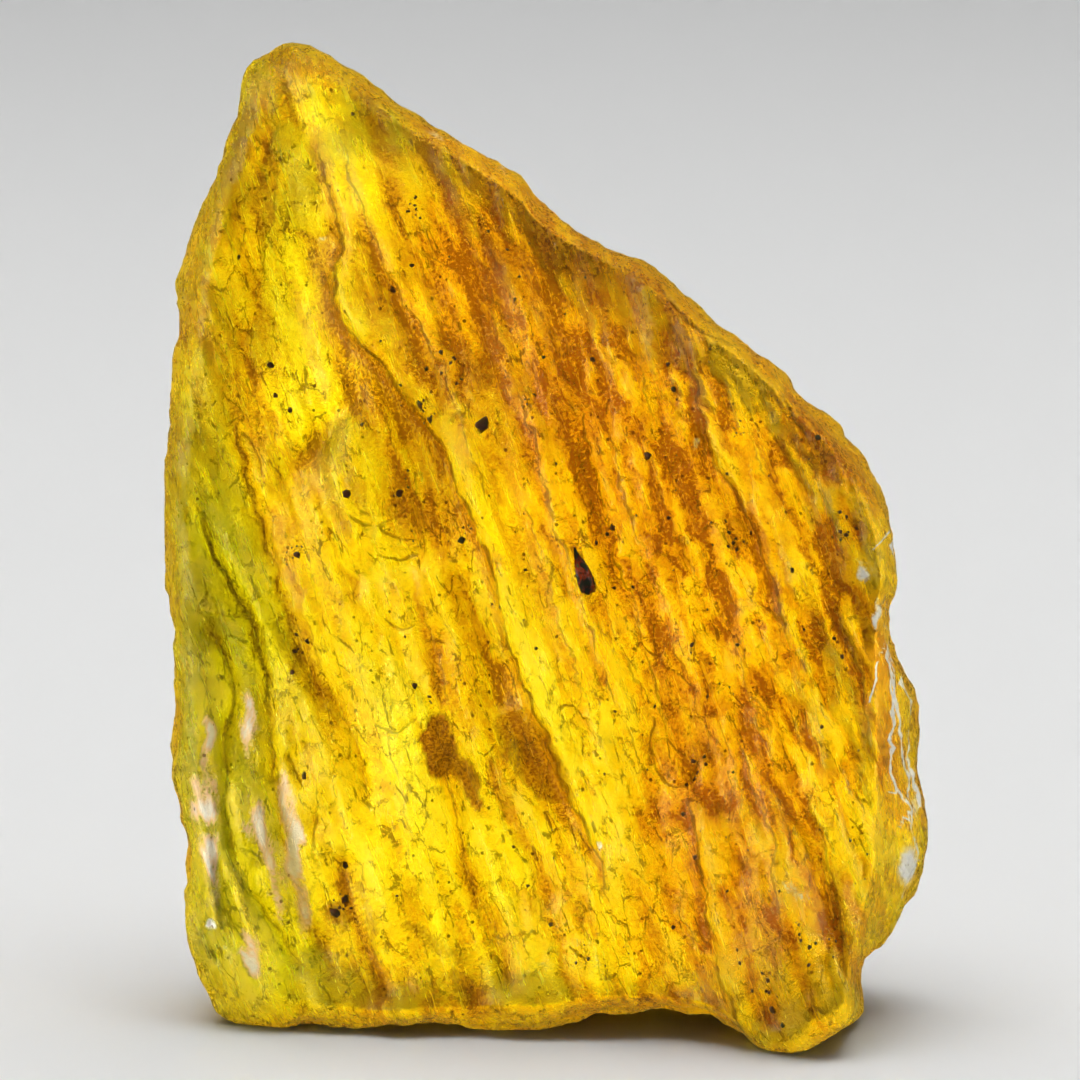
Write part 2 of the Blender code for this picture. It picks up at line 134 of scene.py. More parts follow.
# Grooves between rounded folds: (route, depth, half width).
GROOVES = [
    ([(-18.0, 28.9), (-17.4, 26.6), (-16.7, 24.8), (-15.8, 23.2), (-14.9, 21.6), (-14.3, 19.8),
      (-14.0, 17.6), (-13.8, 14.8), (-13.4, 11.8), (-12.9, 9.6), (-12.3, 7.6), (-11.3, 5.4),
      (-9.9, 3.1)], 1.1, 0.8),
    ([(-15.9, 33.1), (-15.6, 31.3), (-15.2, 29.6), (-14.7, 27.6), (-14.1, 25.6), (-13.3, 23.0),
      (-12.6, 20.6), (-11.5, 18.6), (-10.5, 17.6), (-9.7, 15.7), (-9.1, 13.6), (-8.9, 11.3)],
     0.9, 0.8),
    ([(-17.3, 22.8), (-16.7, 20.8), (-15.8, 18.2), (-16.2, 15.8), (-16.1, 13.3), (-15.9, 11.2),
      (-15.3, 9.2), (-14.3, 7.4), (-13.2, 5.8), (-12.1, 3.7)], 1.0, 0.8),
    ([(-13.1, 15.3), (-12.6, 14.3), (-12.1, 13.2)], 0.6, 0.4),
    ([(-10.5, 10.6), (-10.1, 8.6), (-9.6, 6.7), (-8.9, 5.1), (-8.2, 3.6), (-7.7, 2.3)], 0.9, 0.6),
    ([(-5.4, 15.6), (-4.9, 13.6), (-4.5, 11.9), (-4.2, 10.1), (-3.6, 8.2), (-2.9, 6.7),
      (-2.3, 5.1), (-1.7, 2.8)], 0.9, 0.7),
    ([(-3.1, 15.6), (-2.7, 13.8), (-2.0, 12.1), (-1.0, 10.4), (-0.2, 8.9), (0.3, 7.1)], 0.5, 0.6),
    ([(-4.7, 24.8), (-3.9, 22.8), (-3.1, 20.8), (-2.6, 18.8), (-2.3, 17.1)], 0.6, 0.7),
    ([(-13.9, 46.5), (-14.6, 43.0), (-14.4, 39.0), (-15.6, 34.6)], 0.4, 1.0),
]  # fmt: skip

# Broad swells and hollows of the front: (middle, radii, turn in degrees, height).
SWELLS = [
    ((-12.7, 40.8), (2.2, 6.2), 4, -1.3),  # the trough below the top
    ((-9.2, 29.6), (2.4, 3.0), 8, 1.2),  # the knob at its foot
    ((-11.6, 30.6), (0.8, 2.6), -38, -1.1),  # the gash beside the knob
    ((-7.6, 24.8), (2.6, 1.0), 8, -0.8),  # the scoop under the knob
    ((-0.7, 14.6), (1.1, 2.8), 37, -0.9),  # the sunken lens in the middle
    ((-17.0, 33.0), (1.6, 6.0), 0, 0.5),
    ((3.0, 37.5), (6.0, 4.0), -30, -0.5),
    ((11.8, 30.0), (2.2, 4.6), 32, -0.6),
    ((12.8, 4.0), (3.4, 9.0), 12, 2.8),  # the foot that comes forward
    ((5.4, 3.4), (3.4, 2.6), 0, -0.9),  # the hollow over the arch
    ((1.8, 21.0), (3.0, 8.0), 15, 0.6),
    ((-15.0, 9.0), (3.0, 8.0), 15, 0.8),
    ((-7.5, 9.0), (2.6, 6.0), 12, 0.7),
]

# The back: broken shells of fracture, and a few folds.
BACK_SWELLS = [
    ((4.0, 27.0), (9.0, 8.0), 20, 1.6),
    ((-9.0, 15.0), (7.0, 9.0), -20, 1.4),
    ((-8.0, 36.0), (5.0, 8.0), 12, -1.2),
    ((8.5, 12.0), (6.0, 7.0), 30, -1.7),
    ((-2.0, 5.0), (8.0, 5.0), 0, -0.8),
    ((13.0, 21.0), (3.0, 6.0), 10, 0.8),
]
BACK_LEDGES = [
    ([(-6.0, 46.0), (-7.0, 40.0), (-5.0, 33.0), (-4.5, 27.0), (-1.0, 20.0), (1.0, 12.0),
      (4.5, 5.0)], 0.9, 5.0),
    ([(-14.5, 38.0), (-13.0, 30.0), (-12.5, 23.0), (-9.0, 15.0), (-7.0, 7.0)], 0.7, 3.4),
    ([(1.0, 38.0), (1.5, 31.0), (5.0, 24.0), (6.5, 17.0), (9.5, 10.0)], 0.7, 3.6),
    ([(9.0, 34.0), (10.0, 28.0), (13.0, 22.0), (14.0, 15.0)], 0.6, 2.8),
]  # fmt: skip

# Flat breaks that took the edges off the sides and the back: (point, outward direction).
BREAKS = [
    ((-15.6, 20.0, -4.2), (-0.72, 0.02, -0.69)),
    ((-13.4, 42.0, -2.9), (-0.50, 0.25, -0.83)),
    ((3.6, 38.4, -2.4), (0.42, 0.62, -0.66)),
    ((14.3, 27.5, -3.8), (0.75, 0.25, -0.61)),
    ((15.6, 9.5, -5.2), (0.62, -0.35, -0.70)),
    ((2.0, 24.0, -7.2), (0.20, 0.16, -0.97)),
    ((-8.0, 9.0, -8.0), (-0.28, -0.14, -0.95)),
]
BREAK_SHARE = 0.85  # how much of what stands past a break is gone

STEP_WIDTH = 0.4  # how far the riser of a ledge leans
BACK_STEP_WIDTH = 0.9
GROOVE_ROUND = 0.25  # how far from its line the bottom of a groove is rounded

# Flow wrinkles and lumps too small to draw one by one: (grain along x and h, height).
FLOW_DRIFT = 0.34  # how far a fold drifts to the right for each millimetre down
FRONT_NOISE = [((2.6, 12.0), 0.30), ((1.2, 6.0), 0.12)], [((7.0, 7.0), 0.45), ((2.4, 3.0), 0.13)]
BACK_NOISE = [((3.4, 9.0), 0.35), ((1.5, 5.0), 0.10)], [((9.0, 8.0), 0.8), ((3.4, 3.4), 0.25)]
RIM_NOISE = [(5.0, 0.55), (2.0, 0.28)]  # (grain, height) of the sides
CALM_SHARE = (0.5, 1.0)  # how far the outline's bumps have died out in front and behind
CALM_SPREAD = math.radians(11.0)

# ------------------------------------------------------------ fine forms of the face
# Crisp small ledges, drawn like LEDGES: (route, height, reach).
FINE_LEDGES = [
    ([(-9.9, 33.9), (-8.6, 32.4), (-7.6, 30.4), (-6.6, 28.0), (-5.6, 26.0)], 0.22, 1.0),
    ([(-1.4, 28.4), (-0.7, 26.2), (0.1, 23.6), (1.0, 20.8), (1.9, 18.0), (2.8, 15.2),
      (3.6, 12.2)], 0.25, 0.9),
    ([(-0.3, 24.4), (0.6, 21.8), (1.3, 19.3), (2.3, 16.8), (3.2, 14.2)], 0.2, 0.8),
    ([(2.2, 24.3), (2.9, 22.3), (3.7, 20.3), (4.4, 18.4), (5.2, 17.0)], 0.25, 0.9),
    ([(4.6, 31.8), (5.2, 29.6), (5.9, 27.3), (6.8, 25.3), (7.6, 23.3)], 0.25, 1.0),
    ([(9.2, 21.3), (9.7, 19.3), (10.3, 17.0), (10.9, 14.8)], 0.3, 0.9),
    ([(10.0, 18.6), (10.8, 16.6), (11.3, 14.4), (12.0, 12.2)], 0.25, 0.7),
    ([(8.2, 17.6), (8.8, 15.8), (9.4, 13.6), (9.7, 11.6)], 0.25, 0.8),
    ([(5.6, 12.6), (6.2, 10.4), (6.6, 8.2), (7.0, 6.2), (7.7, 4.4)], 0.3, 0.9),
    ([(8.5, 9.6), (9.0, 7.6), (9.6, 5.6), (10.3, 3.6), (11.1, 1.6)], 0.3, 0.7),
    ([(10.4, 8.0), (10.9, 6.0), (11.6, 4.0), (12.3, 2.0)], 0.25, 0.6),
    ([(12.3, 21.6), (12.8, 19.4), (13.4, 17.2), (13.8, 15.2)], 0.25, 0.8),
    ([(13.0, 12.2), (13.6, 10.0), (14.0, 8.0), (14.2, 6.0)], 0.25, 0.7),
    ([(-6.2, 22.6), (-5.6, 20.6), (-5.2, 18.8), (-5.0, 17.0)], 0.25, 0.8),
    ([(-8.7, 17.9), (-8.0, 15.9), (-7.5, 13.9), (-7.0, 11.9), (-6.4, 9.9)], 0.2, 1.0),
    ([(-4.4, 9.6), (-3.8, 8.0), (-3.2, 6.2), (-2.6, 4.4)], 0.25, 0.8),
    ([(0.6, 9.4), (1.4, 7.4), (2.2, 5.4), (2.8, 3.6)], 0.25, 0.8),
    ([(-16.4, 27.0), (-15.9, 25.0), (-15.0, 23.2), (-14.3, 21.2), (-13.7, 19.0)], 0.35, 0.9),
    ([(-12.9, 24.6), (-12.3, 22.6), (-11.7, 20.6), (-10.9, 18.9)], 0.3, 0.9),
    ([(-17.6, 20.2), (-17.2, 18.2), (-17.1, 16.2), (-16.9, 14.2), (-16.6, 12.2)], 0.3, 0.7),
    ([(-14.9, 14.2), (-14.5, 12.2), (-14.0, 10.2), (-13.4, 8.4), (-12.6, 6.6)], 0.35, 0.8),
    ([(-12.0, 11.2), (-11.5, 9.2), (-11.0, 7.2), (-10.3, 5.4)], 0.3, 0.7),
    ([(-13.4, 47.4), (-13.9, 45.2), (-13.6, 42.8), (-14.2, 40.4), (-14.0, 38.2)], 0.3, 0.9),
    ([(-9.0, 47.0), (-8.5, 44.8), (-7.6, 42.4), (-6.6, 40.2), (-5.8, 38.2)], 0.22, 1.0),
    ([(-3.6, 40.4), (-3.0, 38.4), (-2.6, 36.2), (-1.8, 34.2)], 0.2, 0.9),
    ([(3.6, 37.0), (4.3, 35.0), (4.9, 33.0), (5.4, 31.2)], 0.22, 0.8),
    ([(8.6, 34.4), (9.4, 32.4), (10.2, 30.4), (11.2, 28.4), (12.1, 26.4)], 0.3, 0.9),
    ([(12.2, 31.4), (13.2, 29.4), (13.9, 27.4), (14.4, 25.4)], 0.3, 0.8),
]  # fmt: skip

# Overlapping flakes of the face: (size across and along the folds, height, seed).
PLATES = [((1.1, 4.6), 0.14, 210), ((0.55, 1.7), 0.07, 211)]

# Scallops where the sides and the back broke: (size, depth, seed).
CHIPS = [(5.5, 0.80, 220), (2.1, 0.32, 221), (0.85, 0.17, 222)]

# Hairline cracks, grooved and stained: (route, half width, depth).
CRACKS = [
    ([(4.6, 17.3), (5.3, 16.8), (5.1, 15.8), (5.4, 14.3), (6.1, 13.6), (7.1, 13.8),
      (7.6, 15.3)], 0.10, 0.30),
    ([(-8.6, 26.6), (-7.6, 25.9), (-6.4, 25.8)], 0.09, 0.28),
    ([(-8.6, 25.1), (-7.4, 24.8), (-6.4, 25.2)], 0.09, 0.28),
    ([(-10.1, 27.1), (-8.6, 26.5), (-6.9, 27.4)], 0.08, 0.2),
    ([(-13.1, 15.3), (-12.7, 14.3), (-12.3, 13.4)], 0.09, 0.3),
    ([(-16.7, 22.2), (-16.1, 22.0), (-15.4, 21.9)], 0.07, 0.2),
    ([(-8.3, 22.0), (-7.4, 21.3), (-6.6, 21.6)], 0.07, 0.18),
    ([(-8.7, 16.6), (-7.6, 16.2), (-6.4, 17.0)], 0.08, 0.22),
    ([(-15.4, 31.4), (-14.6, 30.2), (-14.2, 28.8)], 0.07, 0.18),
    ([(-6.6, 40.4), (-5.2, 39.6), (-4.2, 39.2)], 0.06, 0.15),
    ([(8.9, 22.6), (9.9, 22.9), (10.9, 22.4), (11.7, 21.5)], 0.07, 0.18),
    ([(5.0, 33.0), (6.1, 32.6), (6.9, 31.6)], 0.06, 0.15),
    ([(-11.4, 12.8), (-11.7, 10.4), (-11.2, 8.8)], 0.07, 0.18),
    ([(11.6, 33.2), (12.2, 31.9), (13.0, 30.8)], 0.08, 0.2),
    ([(5.2, 39.2), (6.0, 37.8), (7.1, 36.5), (8.4, 35.8), (9.6, 35.3)], 0.10, 0.20),
]  # fmt: skip

# Small shallow pits: (middle, radius, depth).
PITS = [
    ((-16.5, 5.9), 0.75, 0.6), ((-16.9, 6.6), 0.35, 0.7), ((-16.6, 5.0), 0.4, 0.6),
    ((-11.1, 41.0), 0.45, 0.3), ((7.4, 30.6), 0.5, 0.35), ((-14.6, 9.3), 0.4, 0.3),
    ((4.1, 18.4), 0.4, 0.25), ((-6.5, 41.0), 0.5, 0.25), ((2.5, 10.6), 0.45, 0.3),
    ((11.9, 8.6), 0.5, 0.3),
]  # fmt: skip

# Patches of the face, each (middle, radii, turn in degrees, amount); a positive turn leans
# left at the top.  First the broad run of light and dark, partly painted glow and shade that
# makes the top darker, then what is laid over it.
BROAD = [
    ((-9.5, 30.0), (3.5, 5.5), 8, -0.12), ((-4.5, 12.0), (9.0, 11.0), 10, 0.05),
    ((-16.5, 16.0), (3.5, 14.0), 6, 0.32), ((11.0, 16.0), (6.5, 14.0), 12, -0.17),
    ((-2.0, 38.0), (9.0, 10.0), -10, -0.34), ((6.0, 30.0), (9.0, 7.0), -30, -0.26),
    ((7.5, 36.2), (1.5, 7.0), 50, 0.20),
]  # fmt: skip
# Painted glow: patches painted brighter where light comes through the resin and where facets catch
# the light.
GLOW_PATCHES = [
    ((-17.7, 20.0), (0.9, 11.0), 2, 0.40), ((-13.5, 6.0), (4.2, 5.6), 12, 0.30),
    ((12.6, 3.4), (2.2, 2.8), 6, 0.40), ((16.3, 22.8), (0.9, 2.2), 10, 0.40),
    ((1.2, 18.4), (2.0, 7.4), 17, 0.75), ((-7.9, 17.2), (2.5, 5.6), 12, 0.70),
    ((-4.0, 9.4), (2.6, 6.0), 14, 0.50), ((-9.6, 12.0), (2.6, 4.2), 10, 0.35),
    ((-5.6, 36.0), (1.3, 5.6), 24, 0.40), ((-9.6, 29.4), (1.9, 2.6), 6, 0.05),
    ((17.9, 8.4), (1.1, 2.8), 6, 0.90), ((17.3, 11.0), (0.5, 1.6), 6, 0.60),
    ((15.6, 24.2), (0.7, 1.0), 20, 0.60), ((8.6, 35.0), (0.8, 1.6), 40, 0.50),
    ((15.2, 20.6), (0.5, 1.3), 14, 0.50), ((12.5, 11.1), (0.6, 1.4), 14, 0.55),
    ((14.3, 10.9), (0.5, 1.5), 12, 0.50), ((-8.0, 24.4), (2.0, 0.8), 4, 0.60),
    ((9.7, 33.6), (0.9, 1.8), 30, 0.65), ((13.0, 28.4), (1.0, 2.2), 24, 0.50),
    ((16.3, 24.0), (0.8, 2.6), 10, 0.80), ((15.2, 25.4), (0.5, 1.6), 20, 0.50),
    ((9.4, 19.8), (0.6, 1.5), 14, 0.65), ((13.2, 17.0), (0.8, 1.7), 14, 0.60),
    ((14.9, 16.4), (0.5, 1.4), 10, 0.50), ((15.8, 9.0), (1.0, 3.4), 8, 0.80),
    ((9.0, 5.6), (0.5, 2.8), 16, 0.70), ((11.9, 2.8), (0.7, 1.9), 10, 0.50),
    ((14.6, 3.6), (0.8, 1.5), -10, 0.60), ((3.1, 10.6), (0.7, 1.5), 20, 0.55),
    ((5.6, 7.4), (0.6, 2.2), 14, 0.50), ((9.6, 10.6), (0.6, 1.7), 18, 0.50),
    ((-12.6, 36.6), (1.5, 5.4), 2, 0.35), ((-15.4, 26.6), (1.0, 3.6), 14, 0.35),
    ((12.4, 22.6), (0.7, 1.8), 14, 0.40), ((4.2, 22.6), (0.5, 2.6), 16, 0.35),
    ((6.4, 22.0), (0.5, 1.9), 18, 0.35), ((-1.8, 4.6), (2.6, 2.0), 0, 0.30),
    ((-10.8, 46.4), (1.5, 1.6), 20, 0.30),
]  # fmt: skip
BROWN = [
    ((-5.2, 18.0), (0.9, 3.6), 16, 0.55), ((-7.0, 27.2), (1.7, 1.2), -10, 0.60),
    ((-3.6, 34.0), (1.0, 0.9), 20, 0.50), ((9.3, 26.0), (1.1, 1.1), 0, 0.55),
    ((14.8, 26.2), (1.1, 1.1), 0, 0.60), ((11.1, 18.4), (0.5, 0.5), 0, 0.45),
    ((7.8, 15.3), (1.2, 0.7), 0, 0.60), ((6.2, 12.2), (2.2, 0.9), 10, 0.50),
    ((5.0, 20.4), (1.0, 3.4), 18, 0.50), ((-4.4, 39.6), (2.6, 1.6), -30, 0.35),
    ((-17.0, 22.4), (1.1, 3.1), 8, 0.55), ((-0.7, 14.8), (1.2, 2.9), 37, 0.75),
    ((-5.4, 15.5), (0.75, 1.15), 4, 0.95), ((-4.0, 13.6), (0.35, 1.1), 20, 0.70),
    ((11.0, 5.4), (1.6, 2.4), 16, 0.40), ((12.2, 6.8), (1.7, 1.4), 0, 0.45),
    ((8.6, 12.6), (1.1, 1.8), 12, 0.40), ((-12.6, 19.6), (0.6, 3.0), 22, 0.60),
    ((-10.2, 8.4), (0.6, 1.2), 0, 0.45), ((7.2, 21.8), (1.6, 2.4), 14, 0.40),
    ((-15.0, 34.2), (0.9, 2.0), 12, 0.35), ((6.6, 29.6), (2.0, 1.6), 20, 0.30),
    ((-12.0, 49.6), (2.6, 1.0), -18, 0.50), ((-3.4, 2.4), (3.6, 0.6), 0, 0.50),
    ((-12.6, 2.2), (1.1, 0.6), -20, 0.60), ((-9.0, 2.0), (0.8, 0.5), 10, 0.55),
    ((0.6, 2.0), (1.2, 0.5), 0, 0.55), ((5.4, 2.9), (4.2, 0.5), 0, 0.55),
    ((-14.8, 33.0), (0.6, 3.4), 10, 0.35), ((-7.2, 8.2), (0.35, 4.4), 10, 0.35),
    ((-3.7, 7.6), (0.35, 3.6), 14, 0.35),
]  # fmt: skip
GREEN = [
    ((-17.0, 12.6), (2.6, 9.0), 2, 1.00), ((-14.6, 8.0), (3.4, 6.8), 14, 0.95),
    ((-16.6, 25.4), (2.2, 6.4), 6, 0.75), ((-13.6, 20.4), (1.7, 5.0), 20, 0.60),
    ((-9.6, 30.0), (2.4, 3.4), 10, 0.45), ((-12.6, 37.6), (2.4, 7.4), 4, 0.45),
    ((-7.6, 10.0), (3.4, 8.0), 10, 0.25), ((-7.9, 27.0), (2.0, 1.4), 0, 0.35),
    ((17.4, 8.6), (1.2, 2.6), 8, 0.60), ((-10.2, 45.0), (1.8, 3.0), 14, 0.25),
]  # fmt: skip
WARM = [
    ((6.0, 37.6), (1.8, 10.0), 50, 0.90), ((13.6, 29.6), (2.2, 5.0), 38, 0.75),
    ((16.4, 20.5), (1.2, 4.6), 6, 0.60), ((17.4, 13.0), (1.2, 5.0), -4, 0.40),
    ((10.0, 18.0), (6.5, 13.0), 14, 0.80), ((2.0, 34.0), (8.0, 7.5), -30, 0.85),
    ((-4.5, 42.0), (3.6, 5.0), -20, 0.65), ((5.0, 27.0), (5.0, 7.0), 10, 0.55),
    ((7.0, 8.0), (3.0, 7.0), 14, 0.65), ((12.5, 4.0), (3.0, 5.0), 8, 0.60),
    ((-4.8, 19.0), (1.2, 5.0), 16, 0.45), ((-6.6, 26.6), (2.2, 1.4), -10, 0.45),
    ((-15.6, 35.0), (1.0, 3.6), 10, 0.35), ((-12.2, 49.4), (2.6, 1.4), -18, 0.70),
]  # fmt: skip
# Painted sheen: pinkish highlight streaks painted along the lower-left folds.
SHEEN_PATCHES = [
    ((-15.05, 16.8), (0.50, 1.8), 6, 1.20), ((-16.85, 11.2), (0.50, 3.4), 3, 1.30),
    ((-14.65, 11.5), (0.55, 1.6), 8, 1.20), ((-12.8, 10.8), (0.48, 3.4), 8, 1.50),
    ((-13.7, 9.0), (0.42, 2.2), 8, 1.10), ((-14.9, 5.1), (0.50, 1.2), 10, 1.40),
    ((-17.7, 12.0), (0.35, 1.8), 0, 0.90), ((-12.2, 6.9), (0.30, 0.9), 10, 1.00),
    ((-17.0, 16.1), (0.28, 1.2), 4, 1.20), ((-11.0, 4.8), (0.55, 0.8), 0, 0.40),
    ((-7.6, 17.2), (0.50, 0.9), 8, 0.35), ((-12.4, 43.6), (0.40, 0.8), 10, 0.35),
]  # fmt: skip
# Flat brown stains with a clear edge.
STAINS = [
    ((-5.45, 15.5), (0.95, 1.75), 2, 1.00), ((-4.0, 13.8), (0.50, 1.9), 20, 0.90),
    ((-0.7, 14.9), (1.25, 3.0), 37, 0.65), ((-17.1, 22.6), (1.0, 2.6), 8, 0.30),
    ((-10.15, 7.7), (0.42, 1.9), 0, 0.75), ((-10.7, 7.1), (0.50, 0.6), 0, 0.80),
    ((-8.9, 6.7), (0.32, 2.4), 14, 0.60), ((-8.2, 3.6), (0.40, 1.8), 24, 0.55),
    ((-5.7, 5.7), (0.35, 2.0), 52, 0.50), ((-3.4, 3.2), (0.45, 2.0), 55, 0.60),
    ((-11.2, 17.9), (0.50, 1.6), 30, 0.45), ((-6.8, 27.0), (1.5, 0.8), -14, 0.35),
    ((-3.4, 34.1), (1.0, 0.8), 20, 0.35), ((9.3, 26.1), (0.9, 0.9), 0, 0.35),
    ((7.8, 15.2), (1.1, 0.6), 0, 0.45),
]  # fmt: skip
# Painted glint spots: small patches painted as silvery highlights on facets, edges and pits.
GLINT_SPOTS = [
    ((15.5, 24.2), (0.30, 0.60), 10, 0.75), ((16.3, 22.1), (0.30, 0.80), 6, 0.75),
    ((17.9, 9.4), (0.55, 1.20), 6, 0.90), ((18.3, 12.4), (0.30, 0.80), 6, 0.60),
    ((11.9, 8.6), (0.55, 0.6), 20, 0.50), ((12.6, 8.2), (0.6, 0.2), 20, 0.45),
    ((2.5, 10.6), (0.22, 0.45), 10, 0.70), ((1.4, 5.8), (0.7, 0.5), 0, 0.38),
    ((-5.6, 45.9), (0.7, 0.25), -35, 0.45), ((-2.4, 44.2), (0.5, 0.2), -35, 0.45),
    ((7.4, 30.6), (0.40, 0.5), 0, 0.50), ((-16.9, 6.6), (0.40, 0.4), 0, 0.90),
    ((-16.2, 5.4), (0.60, 0.4), 30, 0.45), ((-11.4, 40.8), (0.3, 0.35), 0, 0.50),
    ((2.4, 4.9), (0.4, 0.8), 0, 0.35), ((8.6, 9.0), (0.3, 1.2), 14, 0.32),
    ((13.4, 17.2), (0.3, 0.8), 14, 0.32), ((16.1, 24.4), (0.3, 1.2), 12, 0.36),
    ((-6.9, 17.6), (0.4, 0.9), 10, 0.30),
]  # fmt: skip
# Dark grains in the face: (x, h, radius).
GRAINS = [
    (-7.75, 38.3, 0.19), (-3.3, 31.55, 0.34), (-10.05, 28.1, 0.19), (-7.4, 28.15, 0.17),
    (-5.9, 31.8, 0.22), (-6.4, 32.55, 0.20), (2.2, 34.8, 0.13), (4.95, 30.0, 0.20),
    (-1.65, 37.8, 0.11), (-15.5, 40.0, 0.12), (-13.9, 34.55, 0.17), (-13.65, 33.05, 0.12),
    (-12.55, 25.05, 0.15), (3.2, 26.4, 0.14), (2.95, 26.1, 0.10), (2.4, 25.65, 0.10),
    (3.3, 23.4, 0.12), (-2.4, 22.45, 0.15), (-6.65, 18.5, 0.16), (-12.2, 14.0, 0.22),
    (-10.15, 9.55, 0.18), (-10.65, 7.2, 0.26), (-10.15, 7.8, 0.20), (6.25, 33.3, 0.12),
    (7.3, 10.05, 0.15), (2.0, 4.95, 0.12), (-1.0, 8.55, 0.10), (11.1, 2.55, 0.20),
    (11.6, 1.8, 0.15), (-4.3, 25.8, 0.17), (-12.9, 32.3, 0.13), (-9.3, 31.55, 0.12),
    (6.0, 26.9, 0.10), (8.9, 29.1, 0.10), (13.4, 30.9, 0.13), (0.4, 29.6, 0.09),
    (9.4, 20.6, 0.10), (14.6, 20.0, 0.12), (12.1, 24.3, 0.11), (-0.6, 20.4, 0.09),
]  # fmt: skip
# Loose heaps of smaller grains: (x, h, spread, count).
CLUSTERS = [
    (-6.65, 42.4, 0.55, 9), (9.75, 31.1, 0.45, 9), (-0.9, 32.6, 0.45, 7), (-6.1, 32.1, 0.60, 8),
    (-2.4, 24.3, 0.35, 6), (9.3, 26.2, 0.80, 10), (14.9, 26.4, 0.80, 8), (-10.4, 7.6, 0.60, 8),
    (-7.3, 28.6, 0.50, 5), (7.8, 14.8, 0.80, 7), (-4.2, 26.4, 0.50, 6), (-12.8, 25.4, 0.60, 6),
    (-4.6, 34.2, 0.80, 7), (-12.6, 20.2, 0.80, 6), (10.9, 3.6, 0.70, 6), (12.9, 6.2, 0.70, 6),
]  # fmt: skip
CLUSTER_SPREAD = 0.7
CLUSTER_RADII = (0.07, 0.15)  # of its grains, as shares of the heap's spread
SCATTERED = 230  # single grains all over the face
SCATTERED_RADII = (0.035, 0.07)  # the smallest, and how much the largest has more
FLAKE_TIP = (1.25, 25.5)
FLAKE_FOOT = (2.1, 23.15)
FLAKE_HALF_WIDTH = 0.42
FLAKE_BLUNT_FROM = 0.93  # the share of its length from which it is cut short

# Painted glints: thin silvery lines painted as highlights along the fractured right-hand edge:
# (route, strength).
GLINTS = [
    ([(17.1, 26.6), (17.3, 23.4), (17.1, 21.5), (17.5, 19.4), (18.1, 17.1), (18.3, 14.5),
      (18.8, 11.6)], 1.0),
    ([(16.9, 21.1), (16.9, 19.2), (17.1, 17.1), (17.0, 15.4), (17.2, 13.7), (17.8, 12.6),
      (17.9, 10.9)], 1.0),
    ([(17.0, 20.7), (17.2, 18.3), (17.4, 16.4), (17.8, 14.9), (18.1, 13.7), (17.8, 12.6)], 1.0),
    ([(16.4, 19.6), (16.2, 18.7), (16.0, 17.7)], 0.8),
    ([(16.9, 26.6), (16.6, 25.9), (16.0, 25.3)], 0.7),
    ([(17.9, 11.4), (18.2, 9.4), (17.9, 7.6)], 0.8),
    ([(16.2, 5.4), (15.9, 3.9), (15.5, 2.4)], 0.7),
]  # fmt: skip

# ------------------------------------------------------ noise and edges of the surface
# Layers of noise: (grain, or its width and length along the folds; amount; seed).
FOLD_STEPS = [((1.5, 9.0), 1.0, 70), ((0.7, 4.0), 0.5, 71)]
FOLD_RIPPLES = [((0.5, 2.6), 0.05, 72)]
LUMP_STEPS = [((0.9, 1.8), 1.0, 73)]
LUMPS = [(0.5, 0.07, 74)]
PORES = [(0.35, 0.035, 75)]
SIDE_STEPS = [(1.6, 1.0, 112)]
SIDE_RIPPLES = [(0.7, 0.05, 111)]
STEP_HEIGHT = 0.10
SIDE_STEP_HEIGHT = 0.06
CHIP_MIDDLE = 0.20  # how far the middle of a scallop is sunk, as a share of its depth

FACE_TONE = 0.50
BODY_TONE = 0.48
FOLD_TONES = [((1.3, 8.0), 0.20, 90), ((0.55, 3.4), 0.16, 91), ((1.6, 2.4), 0.06, 95)]
PORE_TONES = [(0.4, 0.08, 94)]
COARSE_FOLD_TONES = [((0.9, 1.7), 0.16, 92)]
COARSE_LUMP_TONES = [(0.5, 0.14, 93)]
BODY_TONES = [(6.0, 0.16, 100), (2.2, 0.12, 101), (0.8, 0.10, 102), (0.4, 0.06, 103)]
CRACKLED = [(0.75, 0.5, 140), (3.0, 0.25, 141)]

NEARBY = 3.0  # how far from a route its fine forms and tones reach
LINE_NEARBY = 2.0  # the same for cracks and thin lines
LINE_REACH = 0.45  # how far from a thin line of the face its distance is kept
ROUGH_SEED = 50  # what shares it has the same ragged edge
CRISP_STEP = 0.10  # how far the riser of a crisp ledge leans
FINE_STEP = 0.09
LIP_SHARE, LIP_MORE, LIP_REACH = 0.16, 0.07, 0.55  # the crisp lip of each large ledge
FINE_HEIGHT, FINE_REACH = 0.55, 0.6  # shares of a fine ledge's drawn height and reach
SLIT_SHARE, SLIT_WIDTH = 0.25, 0.22  # the sharp slit in the bottom of a groove
CRACK_SPREAD = 1.3
PLATE_EDGE = 0.12  # how wide the edge of a flake slopes, as a share of its size
PLATE_CALM = 0.3  # how high the flakes are where the face is not grainy
GRAINLESS = 0.25  # how grainy the calmest part of the face is
PLATE_TONE = 0.05  # how much flakes differ in tone, then more for high and low grainy ones
HIGH_PLATE_TONE, LOW_PLATE_TONE = 0.28, 0.15
PLATE_TONE_EDGE = 0.10
LEDGE_SHADE, LEDGE_SHADE_REACH = 0.24, 0.45  # the dark below a ledge
LEDGE_GLOW, LEDGE_GLOW_REACH = 0.20, 0.6  # the light on its edge
GROOVE_SHADE, GROOVE_SHADE_REACH = 0.24, 0.4
LEDGE_SEAM, LEDGE_SEAM_MORE = 0.42, 0.6  # strength of the thin dark seam, and per height
FINE_LEDGE_SEAM = 0.48
GROOVE_SEAM = 0.5
CRACK_STAIN, CRACK_STAIN_MORE = 0.3, 2.0
# how strongly the painted glow patches and the brown patches change the tone
GLOW_SHARE, BROWN_SHARE = 0.45, 0.55
HOLLOW_SHADE, DEEP_SHADE = 1.2, 0.45  # how much darker the small and wide hollows are


